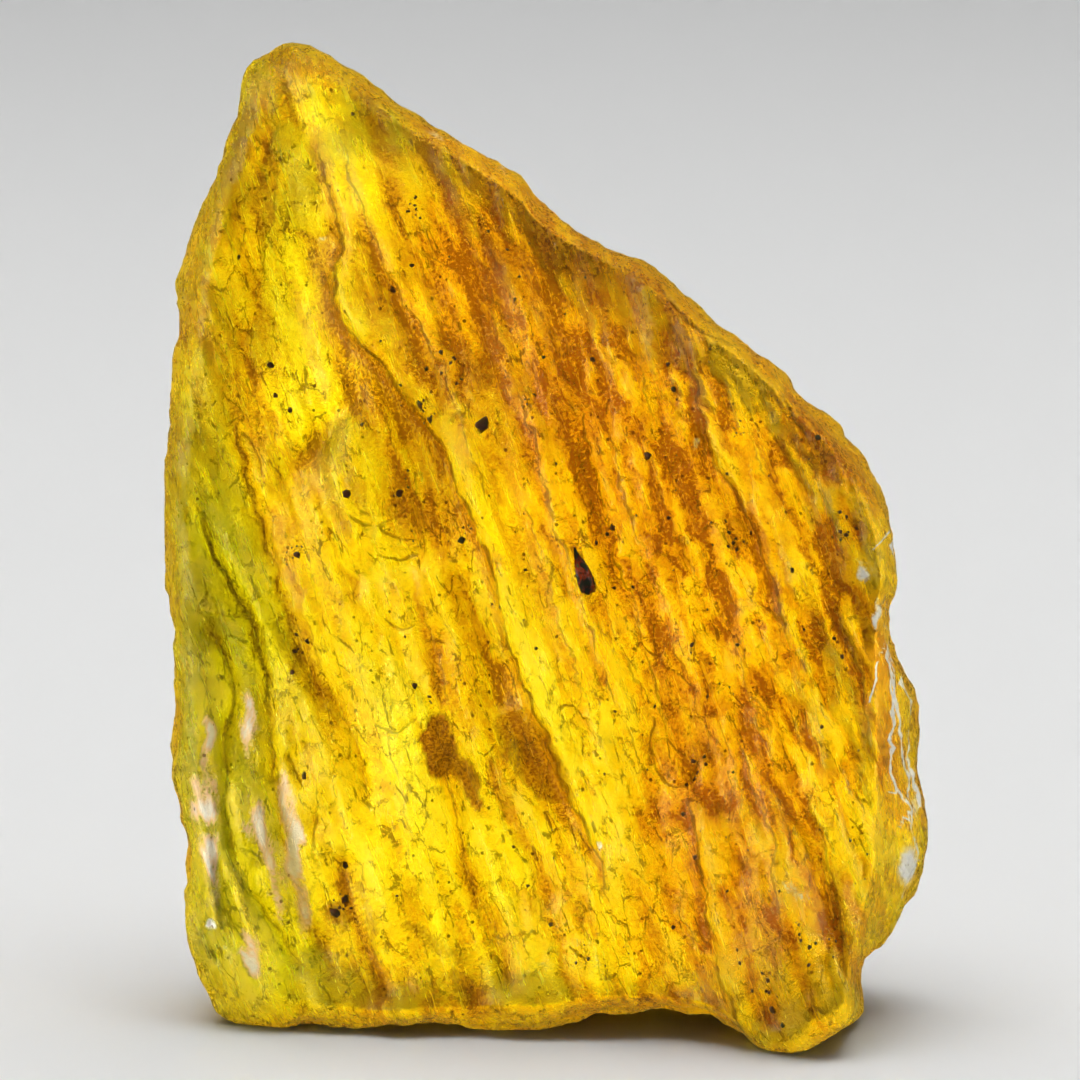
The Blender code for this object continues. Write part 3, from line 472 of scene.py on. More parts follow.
# ------------------------------------------------------------------- curves and fields
def smooth(points, steps=8, closed=False):
    """Points along a Catmull-Rom curve through the given ones."""
    p = np.array(points, float)
    if closed:
        p = np.vstack([p[-1], p, p[:2]])
    else:
        p = np.vstack([2 * p[0] - p[1], p, 2 * p[-1] - p[-2]])
    t = np.linspace(0, 1, steps, endpoint=False)[:, None]
    spans = []
    for a, b, c, d in zip(p, p[1:], p[2:], p[3:]):
        spans.append(
            b + 0.5 * t * (c - a + t * (2 * a - 5 * b + 4 * c - d + t * (3 * (b - c) + d - a)))
        )
    curve = np.vstack(spans)
    return curve if closed else np.vstack([curve, p[-2]])


def beside(route, at, margin=40.0, steps=8):
    """How far each point is to the right of a route that runs down, and where along it.

    Points further than margin from the route's box are left at that distance.
    """
    line = smooth(route, steps)
    low, high = line.min(axis=0) - margin, line.max(axis=0) + margin
    inside = np.flatnonzero(((at > low) & (at < high)).all(axis=1))
    start, step = line[:-1], np.diff(line, axis=0)
    length = np.hypot(*step.T)
    begun = np.concatenate([[0], np.cumsum(length)])
    here = at[inside]
    best = np.full(len(here), np.inf)
    side = np.ones(len(here))
    along = np.zeros(len(here))
    for a, d, size, before in zip(start, step, length, begun):
        off = here - a
        t = np.clip(off @ d / size**2, 0, 1)
        gap = np.hypot(*(off - t[:, None] * d).T)
        near = gap < best
        best[near] = gap[near]
        side[near] = np.sign(off @ (-d[1], d[0]))[near]
        along[near] = (before + t * size)[near] / begun[-1]
    distance = np.full(len(at), 2 * margin)
    share = np.zeros(len(at))
    distance[inside] = best * side
    share[inside] = along
    return distance, share


def fade_ends(along, share=0.18):
    t = np.clip(np.minimum(along, 1 - along) / share, 0, 1)
    return t * t * (3 - 2 * t)


def ledge(route, height, reach, at, step_width, margin=40.0):
    d, along = beside(route, at, margin)
    right = 0.5 + 0.5 * np.tanh(d / step_width)
    tread = right * np.exp(-np.maximum(d, 0) / reach)
    foot = (1 - right) * 0.4 * np.exp(-np.maximum(-d, 0) / (0.5 * reach))
    return height * fade_ends(along) * (tread - foot)


def groove(route, depth, half_width, at):
    d, along = beside(route, at)
    off = np.hypot(d, GROOVE_ROUND) - GROOVE_ROUND
    return -depth * fade_ends(along, 0.12) * np.exp(-off / half_width)


def swell(middle, radii, turn, height, at):
    c, s = math.cos(math.radians(turn)), math.sin(math.radians(turn))
    off = (at - middle) @ np.array([[c, -s], [s, c]])
    return height * np.exp(-((off / radii) ** 2).sum(axis=1))


def grain(at, size, seed):
    scaled = np.column_stack([at / size, np.zeros(len(at))])[:, :3] + (0, 0, seed)
    return np.array([noise.noise(Vector(p)) for p in scaled]) * 1.6


def hashed(cell, seed):
    """A whole number below 2**32 for each lattice cell."""
    h = cell[:, 0] * 73856093 ^ cell[:, 1] * 19349663 ^ cell[:, 2] * 83492791 ^ seed * 2654435761
    h = (h ^ (h >> 13)) * 1274126177 & 0xFFFFFFFF
    h = (h ^ (h >> 15)) * 2246822519 & 0xFFFFFFFF
    return h ^ (h >> 16)


def soft_noise(p, seed):
    """Gradient noise of about -1 to 1 at points already divided by the grain size."""
    if p.shape[1] == 2:
        p = np.column_stack([p, np.zeros(len(p))])
    cell = np.floor(p).astype(np.int64)
    f = p - cell
    u = f * f * f * (f * (f * 6 - 15) + 10)
    total = np.zeros(len(p))
    for dx in (0, 1):
        for dy in (0, 1):
            for dz in (0, 1):
                h = hashed(cell + (dx, dy, dz), seed)
                slope = np.column_stack([h & 1023, h >> 10 & 1023, h >> 20 & 1023]) / 511.5 - 1
                share = np.prod(np.where((dx, dy, dz), u, 1 - u), axis=1)
                total += share * ((f - (dx, dy, dz)) * slope).sum(axis=1)
    return total * 1.7


def layered(at, layers):
    """The sum of layers of noise, each (grain, amount, seed)."""
    return sum(amount * soft_noise(at / grain, seed) for grain, amount, seed in layers)


def shaken(at, size, reach, seed):
    """How far noise of this grain size pushes each point, along each of its axes."""
    return reach * np.column_stack([soft_noise(at / size, seed + k) for k in range(at.shape[1])])


def cells(p, seed):
    """For each point in a plane of scattered unit cells: its cell's number, and how much
    further off the second nearest cell's middle is than its own."""
    home = np.floor(p).astype(np.int64)
    first = np.full(len(p), np.inf)
    second = first.copy()
    owner = np.zeros(len(p), np.int64)
    for dx in (-1, 0, 1):
        for dy in (-1, 0, 1):
            cell = np.column_stack([home + (dx, dy), np.zeros(len(p), np.int64)])
            h = hashed(cell, seed)
            middle = cell[:, :2] + np.column_stack([h & 1023, h >> 10 & 1023]) / 1023
            gap = np.hypot(*(p - middle).T)
            nearer = gap < first
            second = np.where(nearer, first, np.minimum(second, gap))
            owner = np.where(nearer, h, owner)
            first = np.minimum(first, gap)
    return owner, second - first


def chipped(p, seed):
    """Shallow scallops in space, a unit across and meeting in sharp ridges: 0 at their
    middles, rising with the square of the distance."""
    p = p + shaken(p, 1.25, 0.25, seed)
    home = np.floor(p).astype(np.int64)
    nearest = np.full(len(p), np.inf)
    for step in np.ndindex(3, 3, 3):
        cell = home + step - 1
        h = hashed(cell, seed)
        middle = cell + np.column_stack([h & 1023, h >> 10 & 1023, h >> 20 & 1023]) / 1023
        nearest = np.minimum(nearest, ((p - middle) ** 2).sum(axis=1))
    return np.minimum(nearest, 1.0)


def plate_levels(at, size, seed):
    """A random level from -1 to 1 for each long flake of the face, and the gap to its edge."""
    owner, gap = cells(along_flow(at) / size, seed)
    return (owner >> 4 & 1023) / 511.5 - 1, gap


def along_flow(at):
    """The same points with the drift of the folds taken out, so that they run down h."""
    return np.column_stack([at[:, 0] + FLOW_DRIFT * (at[:, 1] - FACE_MIDDLE[1]), at[:, 1]])


def relief(at, ledges, step_width, grooves, swells, ripples, seed):
    w = np.zeros(len(at))
    for row in swells:
        w += swell(*row, at)
    for row in ledges:
        w += ledge(*row, at, step_width)
    for row in grooves:
        w += groove(*row, at)
    wrinkles, lumps = ripples
    flow = along_flow(at)
    for size, height in wrinkles:
        w += height * grain(flow, size, seed)
    for size, height in lumps:
        w += height * grain(at, size, seed + 10)
    return w


def front(at):
    flat = FACE_OUT + (at - FACE_MIDDLE) @ FACE_SLOPE
    return flat + relief(at, LEDGES, STEP_WIDTH, GROOVES, SWELLS, FRONT_NOISE, 3.0)


def back(at):
    flat = BACK_OUT + (at - FACE_MIDDLE) @ BACK_SLOPE
    return flat - relief(at, BACK_LEDGES, BACK_STEP_WIDTH, [], BACK_SWELLS, BACK_NOISE, 23.0)


# ---------------------------------------------------------------------- the fine surface
def outline_reach(turn):
    off = smooth(OUTLINE, closed=True) - FACE_MIDDLE
    angle = np.arctan2(off[:, 1], off[:, 0])
    order = np.argsort(angle)
    return np.interp(turn, angle[order], np.hypot(*off.T)[order], period=2 * math.pi)


def calm_reach(turn):
    spread = np.linspace(-2, 2, 17)
    weight = np.exp(-(spread**2) / 2)
    each = [outline_reach(turn + s * CALM_SPREAD) for s in spread]
    return np.average(each, axis=0, weights=weight)


def rim_values(turn):
    knots = np.array(RIM, float)
    turns = np.radians(knots[:, 0])
    return [np.interp(turn, turns, column, period=2 * math.pi) for column in knots[:, 1:].T]


def broken(points):
    for at, outward in BREAKS:
        outward = np.array(outward) / np.linalg.norm(outward)
        past = np.maximum((points - at) @ outward, 0)
        points = points - BREAK_SHARE * past[:, None] * outward
    return points


def shaped(points):
    """Moves the points of a unit sphere, poles front and back, to the drawn stone.

    Also returns how far each point is on the face: 0 at the rim and behind it, 1 inside.
    """
    turn = np.arctan2(points[:, 1], points[:, 0])
    rise = np.abs(np.arcsin(np.clip(points[:, 2], -1, 1))) / (math.pi / 2)
    is_front = points[:, 2] >= 0
    line, front_in, front_square, back_in, back_square = rim_values(turn)
    inset = np.where(is_front, front_in, back_in)
    square = np.where(is_front, front_square, back_square)
    on_rim = np.clip(rise / RIM_SHARE, 0, 1)
    on_face = np.clip((rise - RIM_SHARE) / (1 - RIM_SHARE), 0, 1)
    round_rim = 1 - np.cos(on_rim * math.pi / 2)
    calm = round_rim * np.where(is_front, *CALM_SHARE)
    reach = outline_reach(turn) * (1 - calm) + calm_reach(turn) * calm
    inward = inset * round_rim + (reach - inset) * on_face
    towards = np.column_stack([np.cos(turn), np.sin(turn)])
    at = FACE_MIDDLE + towards * (reach - inward)[:, None]
    left = 1 - np.clip(inward / inset, 0, 1)
    height = (1 - left**square) ** (1 / square)
    out = np.empty(len(points))
    out[is_front] = front(at[is_front])
    out[~is_front] = back(at[~is_front])
    made = np.column_stack([at, line + (out - line) * height])
    on_side = np.where(is_front, 0, 4 * left * (1 - left)) * np.clip((at[:, 1] - 4) / 4, 0, 1)
    for size, bump in RIM_NOISE:
        push = bump * on_side * (grain(made, size, 40.0) - 1)
        made[:, :2] += towards * push[:, None]
    return broken(made), np.where(is_front, height, 0.0)


def even_sphere(count, pull):
    """Points and squares of a unit sphere, drawn towards its +Z pole where pull is below 1."""
    t = np.tan(np.linspace(-math.pi / 4, math.pi / 4, count + 1))
    a, b = np.meshgrid(t, t, indexing="ij")
    one = np.ones_like(a)
    sides = [(a, b, one), (b, a, -one), (one, a, b), (-one, b, a), (b, one, a), (a, -one, b)]
    points = np.concatenate([np.stack(side, axis=-1).reshape(-1, 3) for side in sides])
    points /= np.linalg.norm(points, axis=1)[:, None]
    index = np.arange(6 * (count + 1) ** 2).reshape(6, count + 1, count + 1)
    corners = [index[:, :-1, :-1], index[:, 1:, :-1], index[:, 1:, 1:], index[:, :-1, 1:]]
    squares = np.stack(corners, axis=-1).reshape(-1, 4)
    _, first, same = np.unique(np.round(points, 6), axis=0, return_index=True, return_inverse=True)
    points, squares = points[first], same.ravel()[squares]
    near, far = 1 + points[:, 2], (1 - points[:, 2]) * pull**2
    pulled = np.column_stack([2 * pull * points[:, :2], near - far])
    return pulled / (near + far)[:, None], squares


def rough_route_points(at, seed):
    """Points pushed about a little, so that what is drawn on them gets a ragged edge."""
    return at + shaken(at, 1.3, 0.28, seed) + shaken(at, 0.45, 0.13, seed + 2)


def slightly_bent(at):
    return at + shaken(at, 0.6, 0.10, 60)


def fine_relief(at):
    """The crisp detail of the face that the solid is too coarse for."""
    ragged = rough_route_points(at, ROUGH_SEED)
    w = np.zeros(len(at))
    for route, height, _ in LEDGES:
        w += ledge(route, LIP_SHARE * height + LIP_MORE, LIP_REACH, ragged, CRISP_STEP, NEARBY)
    for route, height, reach in FINE_LEDGES:
        w += ledge(route, FINE_HEIGHT * height, FINE_REACH * reach, ragged, FINE_STEP, NEARBY)
    for route, depth, _ in GROOVES:
        d, along = beside(route, ragged, NEARBY)
        w -= SLIT_SHARE * depth * fade_ends(along, 0.12) * np.exp(-((d / SLIT_WIDTH) ** 2))
    for route, half_width, depth in CRACKS:
        d, along = beside(route, slightly_bent(at), LINE_NEARBY)
        w -= depth * fade_ends(along, 0.15) * np.exp(-((d / (CRACK_SPREAD * half_width)) ** 2))
    for middle, radius, depth in PITS:
        w += swell(middle, (radius, radius), 0, -depth, ragged)
    flow = along_flow(ragged)
    coarse = coarse_share(at)
    w += STEP_HEIGHT * np.tanh(5 * layered(flow, FOLD_STEPS)) + layered(flow, FOLD_RIPPLES)
    w += coarse * (STEP_HEIGHT * np.tanh(3 * layered(flow, LUMP_STEPS)) + layered(ragged, LUMPS))
    w += layered(at, PORES)
    for size, height, seed in PLATES:
        level, gap = plate_levels(ragged, size, seed)
        share = PLATE_CALM + (1 - PLATE_CALM) * coarse
        w += height * share * level * np.clip(gap / PLATE_EDGE, 0, 1)
    return w


def side_relief(drawn):
    """The scallops and grain of the sides and the back, measured outwards."""
    out = layered(drawn, SIDE_RIPPLES) + SIDE_STEP_HEIGHT * np.tanh(4 * layered(drawn, SIDE_STEPS))
    for size, depth, seed in CHIPS:
        out -= depth * (CHIP_MIDDLE - chipped(drawn / size, seed))
    return out


def coarse_share(at):
    """How grainy the face is: most on the right and along the upper edge."""
    x, h = at.T
    right = 1 / (1 + np.exp(-(x - 4.0 + 0.25 * (h - 20)) / 2.5))
    patchy = 0.5 + 0.5 * np.clip(1.6 * soft_noise(at / 4.0, 80), -1, 1)
    return np.clip(GRAINLESS + right * (0.45 + 0.45 * patchy), 0, 1)


def stood_up(drawn):
    """The drawn points in the row frame, in millimetres."""
    x, h, w = drawn.T
    y = h * math.sin(LEAN) - w * math.cos(LEAN)
    z = h * math.cos(LEAN) + w * math.sin(LEAN) - GROUND
    return np.column_stack([x - SHIFT[0], y - SHIFT[1], np.maximum(z, 0.0)])


def in_frame(drawn):
    """The drawn points in the row frame, in metres, kept within the solid's box."""
    low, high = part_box("amber")
    return np.clip(stood_up(drawn) * MM, np.array(low), np.array(high))


# ------------------------------------------------------------------------ colour fields
def laid(patches, at):
    """The sum of drawn patches at each point."""
    total = np.zeros(len(at))
    for middle, radii, turn, amount in patches:
        total += swell(middle, radii, turn, amount, at)
    return total


def stained(at):
    """The strongest stain at each point, with its edge kept clear."""
    ragged = rough_route_points(at, 58)
    total = np.zeros(len(at))
    for middle, radii, turn, amount in STAINS:
        inside = np.clip((swell(middle, radii, turn, 1.0, ragged) - 0.36) / 0.08, 0, 1)
        total = np.maximum(total, amount * inside)
    return total


def nearest_line(routes, at, woven=False):
    """The nearest drawn line at each point: how far to its right, as 0 to 1 with 0.5 on the
    line, and how strong it is there.  Woven lines lie so close that right and left of them
    take turns."""
    gap = np.full(len(at), np.inf)
    side = np.ones(len(at))
    strength = np.zeros(len(at))
    for route, amount in routes:
        d, along = beside(route, at, LINE_NEARBY)
        closer = np.abs(d) < gap
        gap = np.where(closer, np.abs(d), gap)
        side = side * np.sign(d) if woven else np.where(closer, np.sign(d), side)
        strength = np.where(closer, amount * fade_ends(along, 0.08), strength)
    strength[gap > LINE_REACH] = 0
    return 0.5 + 0.5 * side * np.minimum(gap / LINE_REACH, 1), strength


def nearer_of(one, other):
    """Of two lines with their strengths, the one that is nearer and there at all."""
    nearer = np.abs(one[0] - 0.5) <= np.abs(other[0] - 0.5)
    return np.where(nearer & (one[1] > 0) | (other[1] <= 0), one, other)


def dark_lines(at):
    """The seams under the ledges, the bottoms of the grooves and the drawn cracks."""
    seams = [(route, min(1.0, LEDGE_SEAM + LEDGE_SEAM_MORE * height)) for route, height, _ in LEDGES]
    seams += [(route, FINE_LEDGE_SEAM) for route, _, _ in FINE_LEDGES]
    seams += [(route, GROOVE_SEAM * depth) for route, depth, _ in GROOVES]
    cracks = [(route, CRACK_STAIN + CRACK_STAIN_MORE * depth) for route, _, depth in CRACKS]
    gap, strength = nearer_of(
        nearest_line(seams, rough_route_points(at, ROUGH_SEED)),
        nearest_line(cracks, slightly_bent(at)),
    )
    return gap, strength * np.clip(0.75 + 0.7 * soft_noise(at / 1.8, 59), 0.25, 1.0)


def face_tone(at):
    """How brightly each point of the face is lit through: 0 brown, 0.5 gold, 1 yellow."""
    ragged = rough_route_points(at, ROUGH_SEED)
    flow = along_flow(ragged)
    coarse = coarse_share(at)
    tone = FACE_TONE + laid(BROAD, at) + layered(flow, FOLD_TONES) + layered(at, PORE_TONES)
    tone += coarse * (layered(flow, COARSE_FOLD_TONES) + layered(ragged, COARSE_LUMP_TONES))
    for size, _, seed in PLATES:
        level, gap = plate_levels(ragged, size, seed)
        lift = PLATE_TONE + np.where(level > 0, HIGH_PLATE_TONE, LOW_PLATE_TONE) * coarse
        tone += lift * np.tanh(2 * level) * np.clip(gap / PLATE_TONE_EDGE, 0, 1)
    for route, height, _ in LEDGES + FINE_LEDGES:
        d, along = beside(route, ragged, NEARBY)
        fade = fade_ends(along) * min(1.0, 0.25 + 0.7 * height)
        tone -= LEDGE_SHADE * fade * np.exp(-np.abs(d) / LEDGE_SHADE_REACH) * (d < 0)
        tone += LEDGE_GLOW * fade * np.exp(-np.abs(d) / LEDGE_GLOW_REACH) * (d >= 0)
    for route, depth, _ in GROOVES:
        d, along = beside(route, ragged, NEARBY)
        near = np.exp(-np.abs(d) / GROOVE_SHADE_REACH)
        tone -= GROOVE_SHADE * depth * fade_ends(along, 0.12) * near
    # Painted glow patches raise the tone, brown patches lower it.
    return tone + GLOW_SHARE * laid(GLOW_PATCHES, ragged) - BROWN_SHARE * laid(BROWN, ragged)


def body_tone(drawn):
    """The same away from the face, where it is cloudy."""
    return BODY_TONE + layered(drawn, BODY_TONES)


def face_hue(at):
    """From -1 orange to 1 green on the face."""
    ragged = rough_route_points(at, 55)
    return np.clip(laid(GREEN, ragged), 0, 1) - np.clip(laid(WARM, ragged), 0, 1)


def body_hue(drawn):
    """The same away from the face: greener on the left."""
    left = np.clip(-drawn[:, 0] / 10 - 0.5, 0, 1)
    return 0.15 * soft_noise(drawn / 7.0, 120) - 0.15 + 0.25 * left


# Painted sheen: pinkish highlight streaks on the face, broken up along the folds.
def sheen_streaks(at):
    streaky = 0.65 + 0.7 * soft_noise(along_flow(at) / (0.35, 1.2), 121)
    return laid(SHEEN_PATCHES, rough_route_points(at, 57)) * streaky


def crackled(drawn, seen):
    """How closely hairline cracks net the surface: least at the upper right and off the face."""
    upper = np.clip((drawn[:, 1] - 22) / 8, 0, 1) * np.clip((drawn[:, 0] + 14) / 4, 0, 1)
    return 0.5 + layered(drawn, CRACKLED) - 0.16 * upper - 0.12 * (1 - seen)


def crust_share(drawn, seen):
    """The sugary orange crust along the upper right edge, the tip and over the sides."""
    x, h = drawn[:, :2].T
    upper = np.clip((x + 14) / 4, 0, 1) * np.clip((h - 24) / 6, 0, 1)
    gap = outline_gap(drawn[:, :2])
    rim = np.exp(-np.maximum(gap, 0) / (0.5 + 0.9 * upper)) * (0.35 + 0.65 * upper)
    patchy = 0.5 + 0.5 * np.tanh(3 * soft_noise(drawn / 3.2, 130) + 0.6)
    return np.clip(rim + 0.55 * patchy * (1 - seen), 0, 1)


def outline_gap(at):
    """How far inside the outline each point is."""
    off = at - FACE_MIDDLE
    return outline_reach(np.arctan2(off[:, 1], off[:, 0])) - np.hypot(*off.T)


def faced(field, at, seen, behind):
    """A field of the face, laid over what is behind it by how far each point is seen."""
    face = seen > 0
    values = behind.copy()
    values[face] += seen[face] * (field(at[face]) - values[face])
    return values


# --------------------------------------------------------------------------- the stone
def neighbour_means(values, edges, rounds):
    """Each point's value, averaged with its neighbours' a number of times."""
    count = np.bincount(edges.ravel(), minlength=len(values))[:, None]
    a, b = edges.T
    for _ in range(rounds):
        total = [
            np.bincount(a, column[b], len(values)) + np.bincount(b, column[a], len(values))
            for column in values.T
        ]
        values = 0.5 * values + 0.5 * np.column_stack(total) / count
    return values


def mesh_of(name, points, faces):
    mesh = bpy.data.meshes.new(name)
    mesh.from_pydata(points.tolist(), [], faces)
    mesh.update()
    mesh.shade_smooth()
    return mesh


def placed(mesh, material):
    """An object of the mesh's name that shows it in the given material."""
    made = bpy.data.objects.new(mesh.name, mesh)
    bpy.context.collection.objects.link(made)
    mesh.materials.append(material)
    return made


def colour_attribute(mesh, name, columns):
    layer = mesh.attributes.new(name, "FLOAT_COLOR", "POINT")
    values = np.clip(np.column_stack(columns), 0, 1)
    layer.data.foreach_set("color", values.astype(np.float32).ravel())


def stone_mesh():
    """The drawn stone with all its relief, and each point's place on the smooth drawing,
    how far it is on the face and its outward direction before the sides were roughened."""
    sphere, squares = even_sphere(GRID, FRONT_PULL)
    drawn, on_face = shaped(sphere)
    at = drawn[:, :2].copy()
    face = on_face > 0
    drawn[face, 2] += np.sqrt(on_face[face]) * fine_relief(at[face])
    mesh = mesh_of("amber_stone", drawn, squares.tolist())
    normals = np.array([v.normal for v in mesh.vertices])
    off_face = np.clip(1.5 - 1.5 * on_face, 0, 1)
    return mesh, drawn + normals * (off_face * side_relief(drawn))[:, None], at, on_face, normals


def hollow_shade(mesh, drawn, normals):
    """How much darker each point is for lying deep, in small hollows and in wide ones."""
    edges = np.array([e.vertices[:] for e in mesh.edges])
    near = neighbour_means(drawn, edges, 6)
    wide = neighbour_means(near, edges, 50)
    hollow = ((near - drawn) * normals).sum(axis=1)
    deep = ((wide - near) * normals).sum(axis=1)
    return DEEP_SHADE * np.clip(deep, -0.3, 0.5) + HOLLOW_SHADE * np.clip(hollow, -0.06, 0.12)


def make_stone():
    mesh, drawn, at, on_face, normals = stone_mesh()
    to_front = normals[:, 2]
    seen = np.maximum(on_face, np.clip(1.6 * to_front, 0, 1) * (drawn[:, 2] > -4))
    face = seen > 0
    plain = np.zeros(len(drawn))

    tone = faced(face_tone, at, seen, body_tone(drawn)) - hollow_shade(mesh, drawn, normals)
    hue = faced(face_hue, at, seen, body_hue(drawn))
    # The painted sheen streaks.
    sheen = faced(sheen_streaks, at, seen, plain)
    colour_attribute(mesh, "ground", [tone, 0.5 + 0.45 * hue, sheen, crackled(drawn, seen)])

    # Painted glint spots on the face.
    glint_spots = plain.copy()
    glint_spots[face] = laid(GLINT_SPOTS, rough_route_points(at[face], 57))
    stain = faced(stained, at, seen, plain)
    frost = np.where(to_front > -0.3, np.clip(0.9 - 1.1 * seen, 0.08, 0.35), 0.08)
    colour_attribute(mesh, "marks", [0.8 * crust_share(drawn, seen), glint_spots, stain, frost])

    line_gap, line = np.ones((2, len(drawn)))
    line_gap[face], line[face] = dark_lines(at[face])
    # Painted glint lines along the right-hand edge, kept to where it faces the front.
    glint_gap, glint_line = nearest_line(GLINTS, rough_route_points(at, 59), woven=True)
    glint_line *= np.clip(5 * to_front + 0.2, 0, 1) * (drawn[:, 2] > -2)
    colour_attribute(mesh, "lines", [line_gap, line * seen, glint_gap, glint_line])
    colour_attribute(mesh, "flow", [0.12 + seen] * 4)

    mesh.vertices.foreach_set("co", in_frame(drawn).astype(np.float32).ravel())
    mesh.update()
    return placed(mesh, amber_material())


# ---------------------------------------------------------------------------- materials
class Nodes:
    """Short names for the shader nodes that the materials use."""

    def __init__(self, name):
        self.material = bpy.data.materials.new(name)
        self.material.use_nodes = True
        self.tree = self.material.node_tree
        self.shader = self.tree.nodes["Principled BSDF"]
        self.place = self.tree.nodes.new("ShaderNodeTexCoord").outputs["Object"]

    def add(self, kind, inputs=(), **settings):
        node = self.tree.nodes.new("ShaderNode" + kind)
        for key, value in settings.items():
            setattr(node, key, value)
        for key, value in dict(inputs).items():
            self.put(value, node.inputs[key])
        return node

    def put(self, value, socket):
        if isinstance(value, bpy.types.NodeSocket):
            self.tree.links.new(value, socket)
        else:
            socket.default_value = value

    def channels(self, name):
        """The colour channels of a vertex attribute, and its alpha."""
        outputs = self.add("Attribute", attribute_name=name).outputs
        return (*self.split(outputs["Color"]), outputs["Alpha"])

    def split(self, colour):
        return self.add("SeparateColor", {"Color": colour}).outputs

    def math(self, operation, a, b=0.0, c=0.0):
        return self.add("Math", {0: a, 1: b, 2: c}, operation=operation).outputs[0]

    def times(self, a, b):
        return self.math("MULTIPLY", a, b)

    def plus_times(self, base, value, factor):
        return self.math("MULTIPLY_ADD", value, factor, base)

    def most(self, first, *others):
        for other in others:
            first = self.math("MAXIMUM", first, other)
        return first

    def span(self, value, low, high, to_low=0.0, to_high=1.0):
        ends = {"From Min": low, "From Max": high, "To Min": to_low, "To Max": to_high}
        inputs = {"Value": value, **ends}
        return self.add("MapRange", inputs, interpolation_type="SMOOTHSTEP").outputs["Result"]

    def mix(self, share, a, b, blend="MIX"):
        node = self.add("Mix", data_type="RGBA", blend_type=blend)
        for value, index in ((share, 0), (a, 6), (b, 7)):
            self.put(value, node.inputs[index])
        return node.outputs[2]

    def scaled(self, scale, turn=0.0):
        """Object coordinates turned about Y, then scaled, so that 1 unit is one grain."""
        place = self.place
        if turn:
            inputs = {"Vector": place, "Angle": turn}
            place = self.add("VectorRotate", inputs, rotation_type="Y_AXIS").outputs[0]
        scale = tuple(1 / (s * MM) for s in scale)
        return self.add("VectorMath", {0: place, 1: scale}, operation="MULTIPLY").outputs[0]

    def noise(self, place, detail=2.0, roughness=0.5):
        inputs = {"Vector": place, "Scale": 1.0, "Detail": detail, "Roughness": roughness}
        return self.add("TexNoise", inputs).outputs["Fac"]

    def voronoi(self, place, **settings):
        return self.add("TexVoronoi", {"Vector": place, "Scale": 1.0}, **settings).outputs

    def ramp(self, value, stops):
        node = self.add("ValToRGB", {"Fac": value})
        ramp = node.color_ramp
        while len(ramp.elements) < len(stops):
            ramp.elements.new(1.0)
        for element, (position, colour) in zip(ramp.elements, stops):
            element.position = position
            element.color = (*colour, 1.0)
        return node.outputs["Color"]

    def raise_by(self, height):
        bump = self.add("Bump", {"Height": height, "Strength": 1.0, "Distance": 1.0})
        self.put(bump.outputs["Normal"], self.shader.inputs["Normal"])


# The resin by how brightly it is lit through, from brown to yellow, and where it is green:
# (level, colour).
GOLDEN = [
    (0.0, (0.34, 0.095, 0.001)),
    (0.18, (0.54, 0.210, 0.001)),
    (0.36, (0.72, 0.385, 0.001)),
    (0.56, (0.90, 0.635, 0.002)),
    (0.76, (1.0, 0.840, 0.004)),
    (1.0, (1.0, 0.980, 0.040)),
]
GREENISH = [
    (0.0, (0.22, 0.150, 0.001)),
    (0.3, (0.53, 0.550, 0.001)),
    (0.6, (0.80, 0.940, 0.004)),
    (1.0, (1.00, 1.000, 0.120)),
]
WARMTH = (1.0, 0.66, 0.4, 1.0)  # multiplies the resin where it is orange
# From dark to bright grain of what covers the resin.
CRUST = (0.46, 0.110, 0.002, 1.0), (1.0, 0.560, 0.012, 1.0)
STAIN = (0.20, 0.045, 0.001, 1.0), (0.60, 0.210, 0.002, 1.0)
# The painted sheen, pinkish where it is faint and cream where it is strong.
SHEEN_COLOURS = (1.0, 0.640, 0.340, 1.0), (1.0, 0.930, 0.780, 1.0)
# The colour of the painted glints.
GLINT_COLOUR = (0.95, 0.940, 0.860, 1.0)
DARK_LINE = (0.10, 0.022, 0.0, 1.0)
SPECK = (0.07, 0.012, 0.001, 1.0)
GLOSS_TINT = (1.0, 0.84, 0.40, 1.0)
ABSORBED_LAST = (1.0, 0.92, 0.30, 1.0)
ABSORPTION = 90.0  # per metre

FLOW_TURN = math.atan(FLOW_DRIFT)
STREAK_SIZE = (0.30, 0.9, 2.4)
FLECK_SIZE = (0.16, 0.16, 0.16)
SPECK_CELL = (0.42, 0.42, 0.42)
CRACKLE_CELL = (0.85, 0.85, 1.5)
CRACKLE_BEND = 0.9
SEAM_WIDTH, SEAM_WANDER = 0.13, 0.10
# width and wander of the painted glint lines
GLINT_WIDTH, GLINT_WANDER = 0.085, 0.16
STREAK_TONE = 0.55
FLECK_TONE = 1.10
MIDDLE_TONE = 0.57  # what the flecks add at their middle
CLEAR = 0.88  # how much of the light that meets clean resin goes into it
FLECK_HEIGHT = 0.08  # the bump of the flecks and of the crust's grains
CRUST_HEIGHT = 0.12


def thin_line(n, gap, strength, width, fleck, wander):
    """A line where a gap of 0 to 1 crosses the middle, wider where it is strong."""
    off = n.math("ABSOLUTE", n.math("SUBTRACT", gap, 0.5))
    off = n.plus_times(off, n.math("SUBTRACT", fleck, 0.5), wander)
    reach = n.plus_times(0.25 * width, strength, width)
    return n.times(strength, n.span(n.math("DIVIDE", off, reach), 0.3, 1.0, 1.0, 0.0))


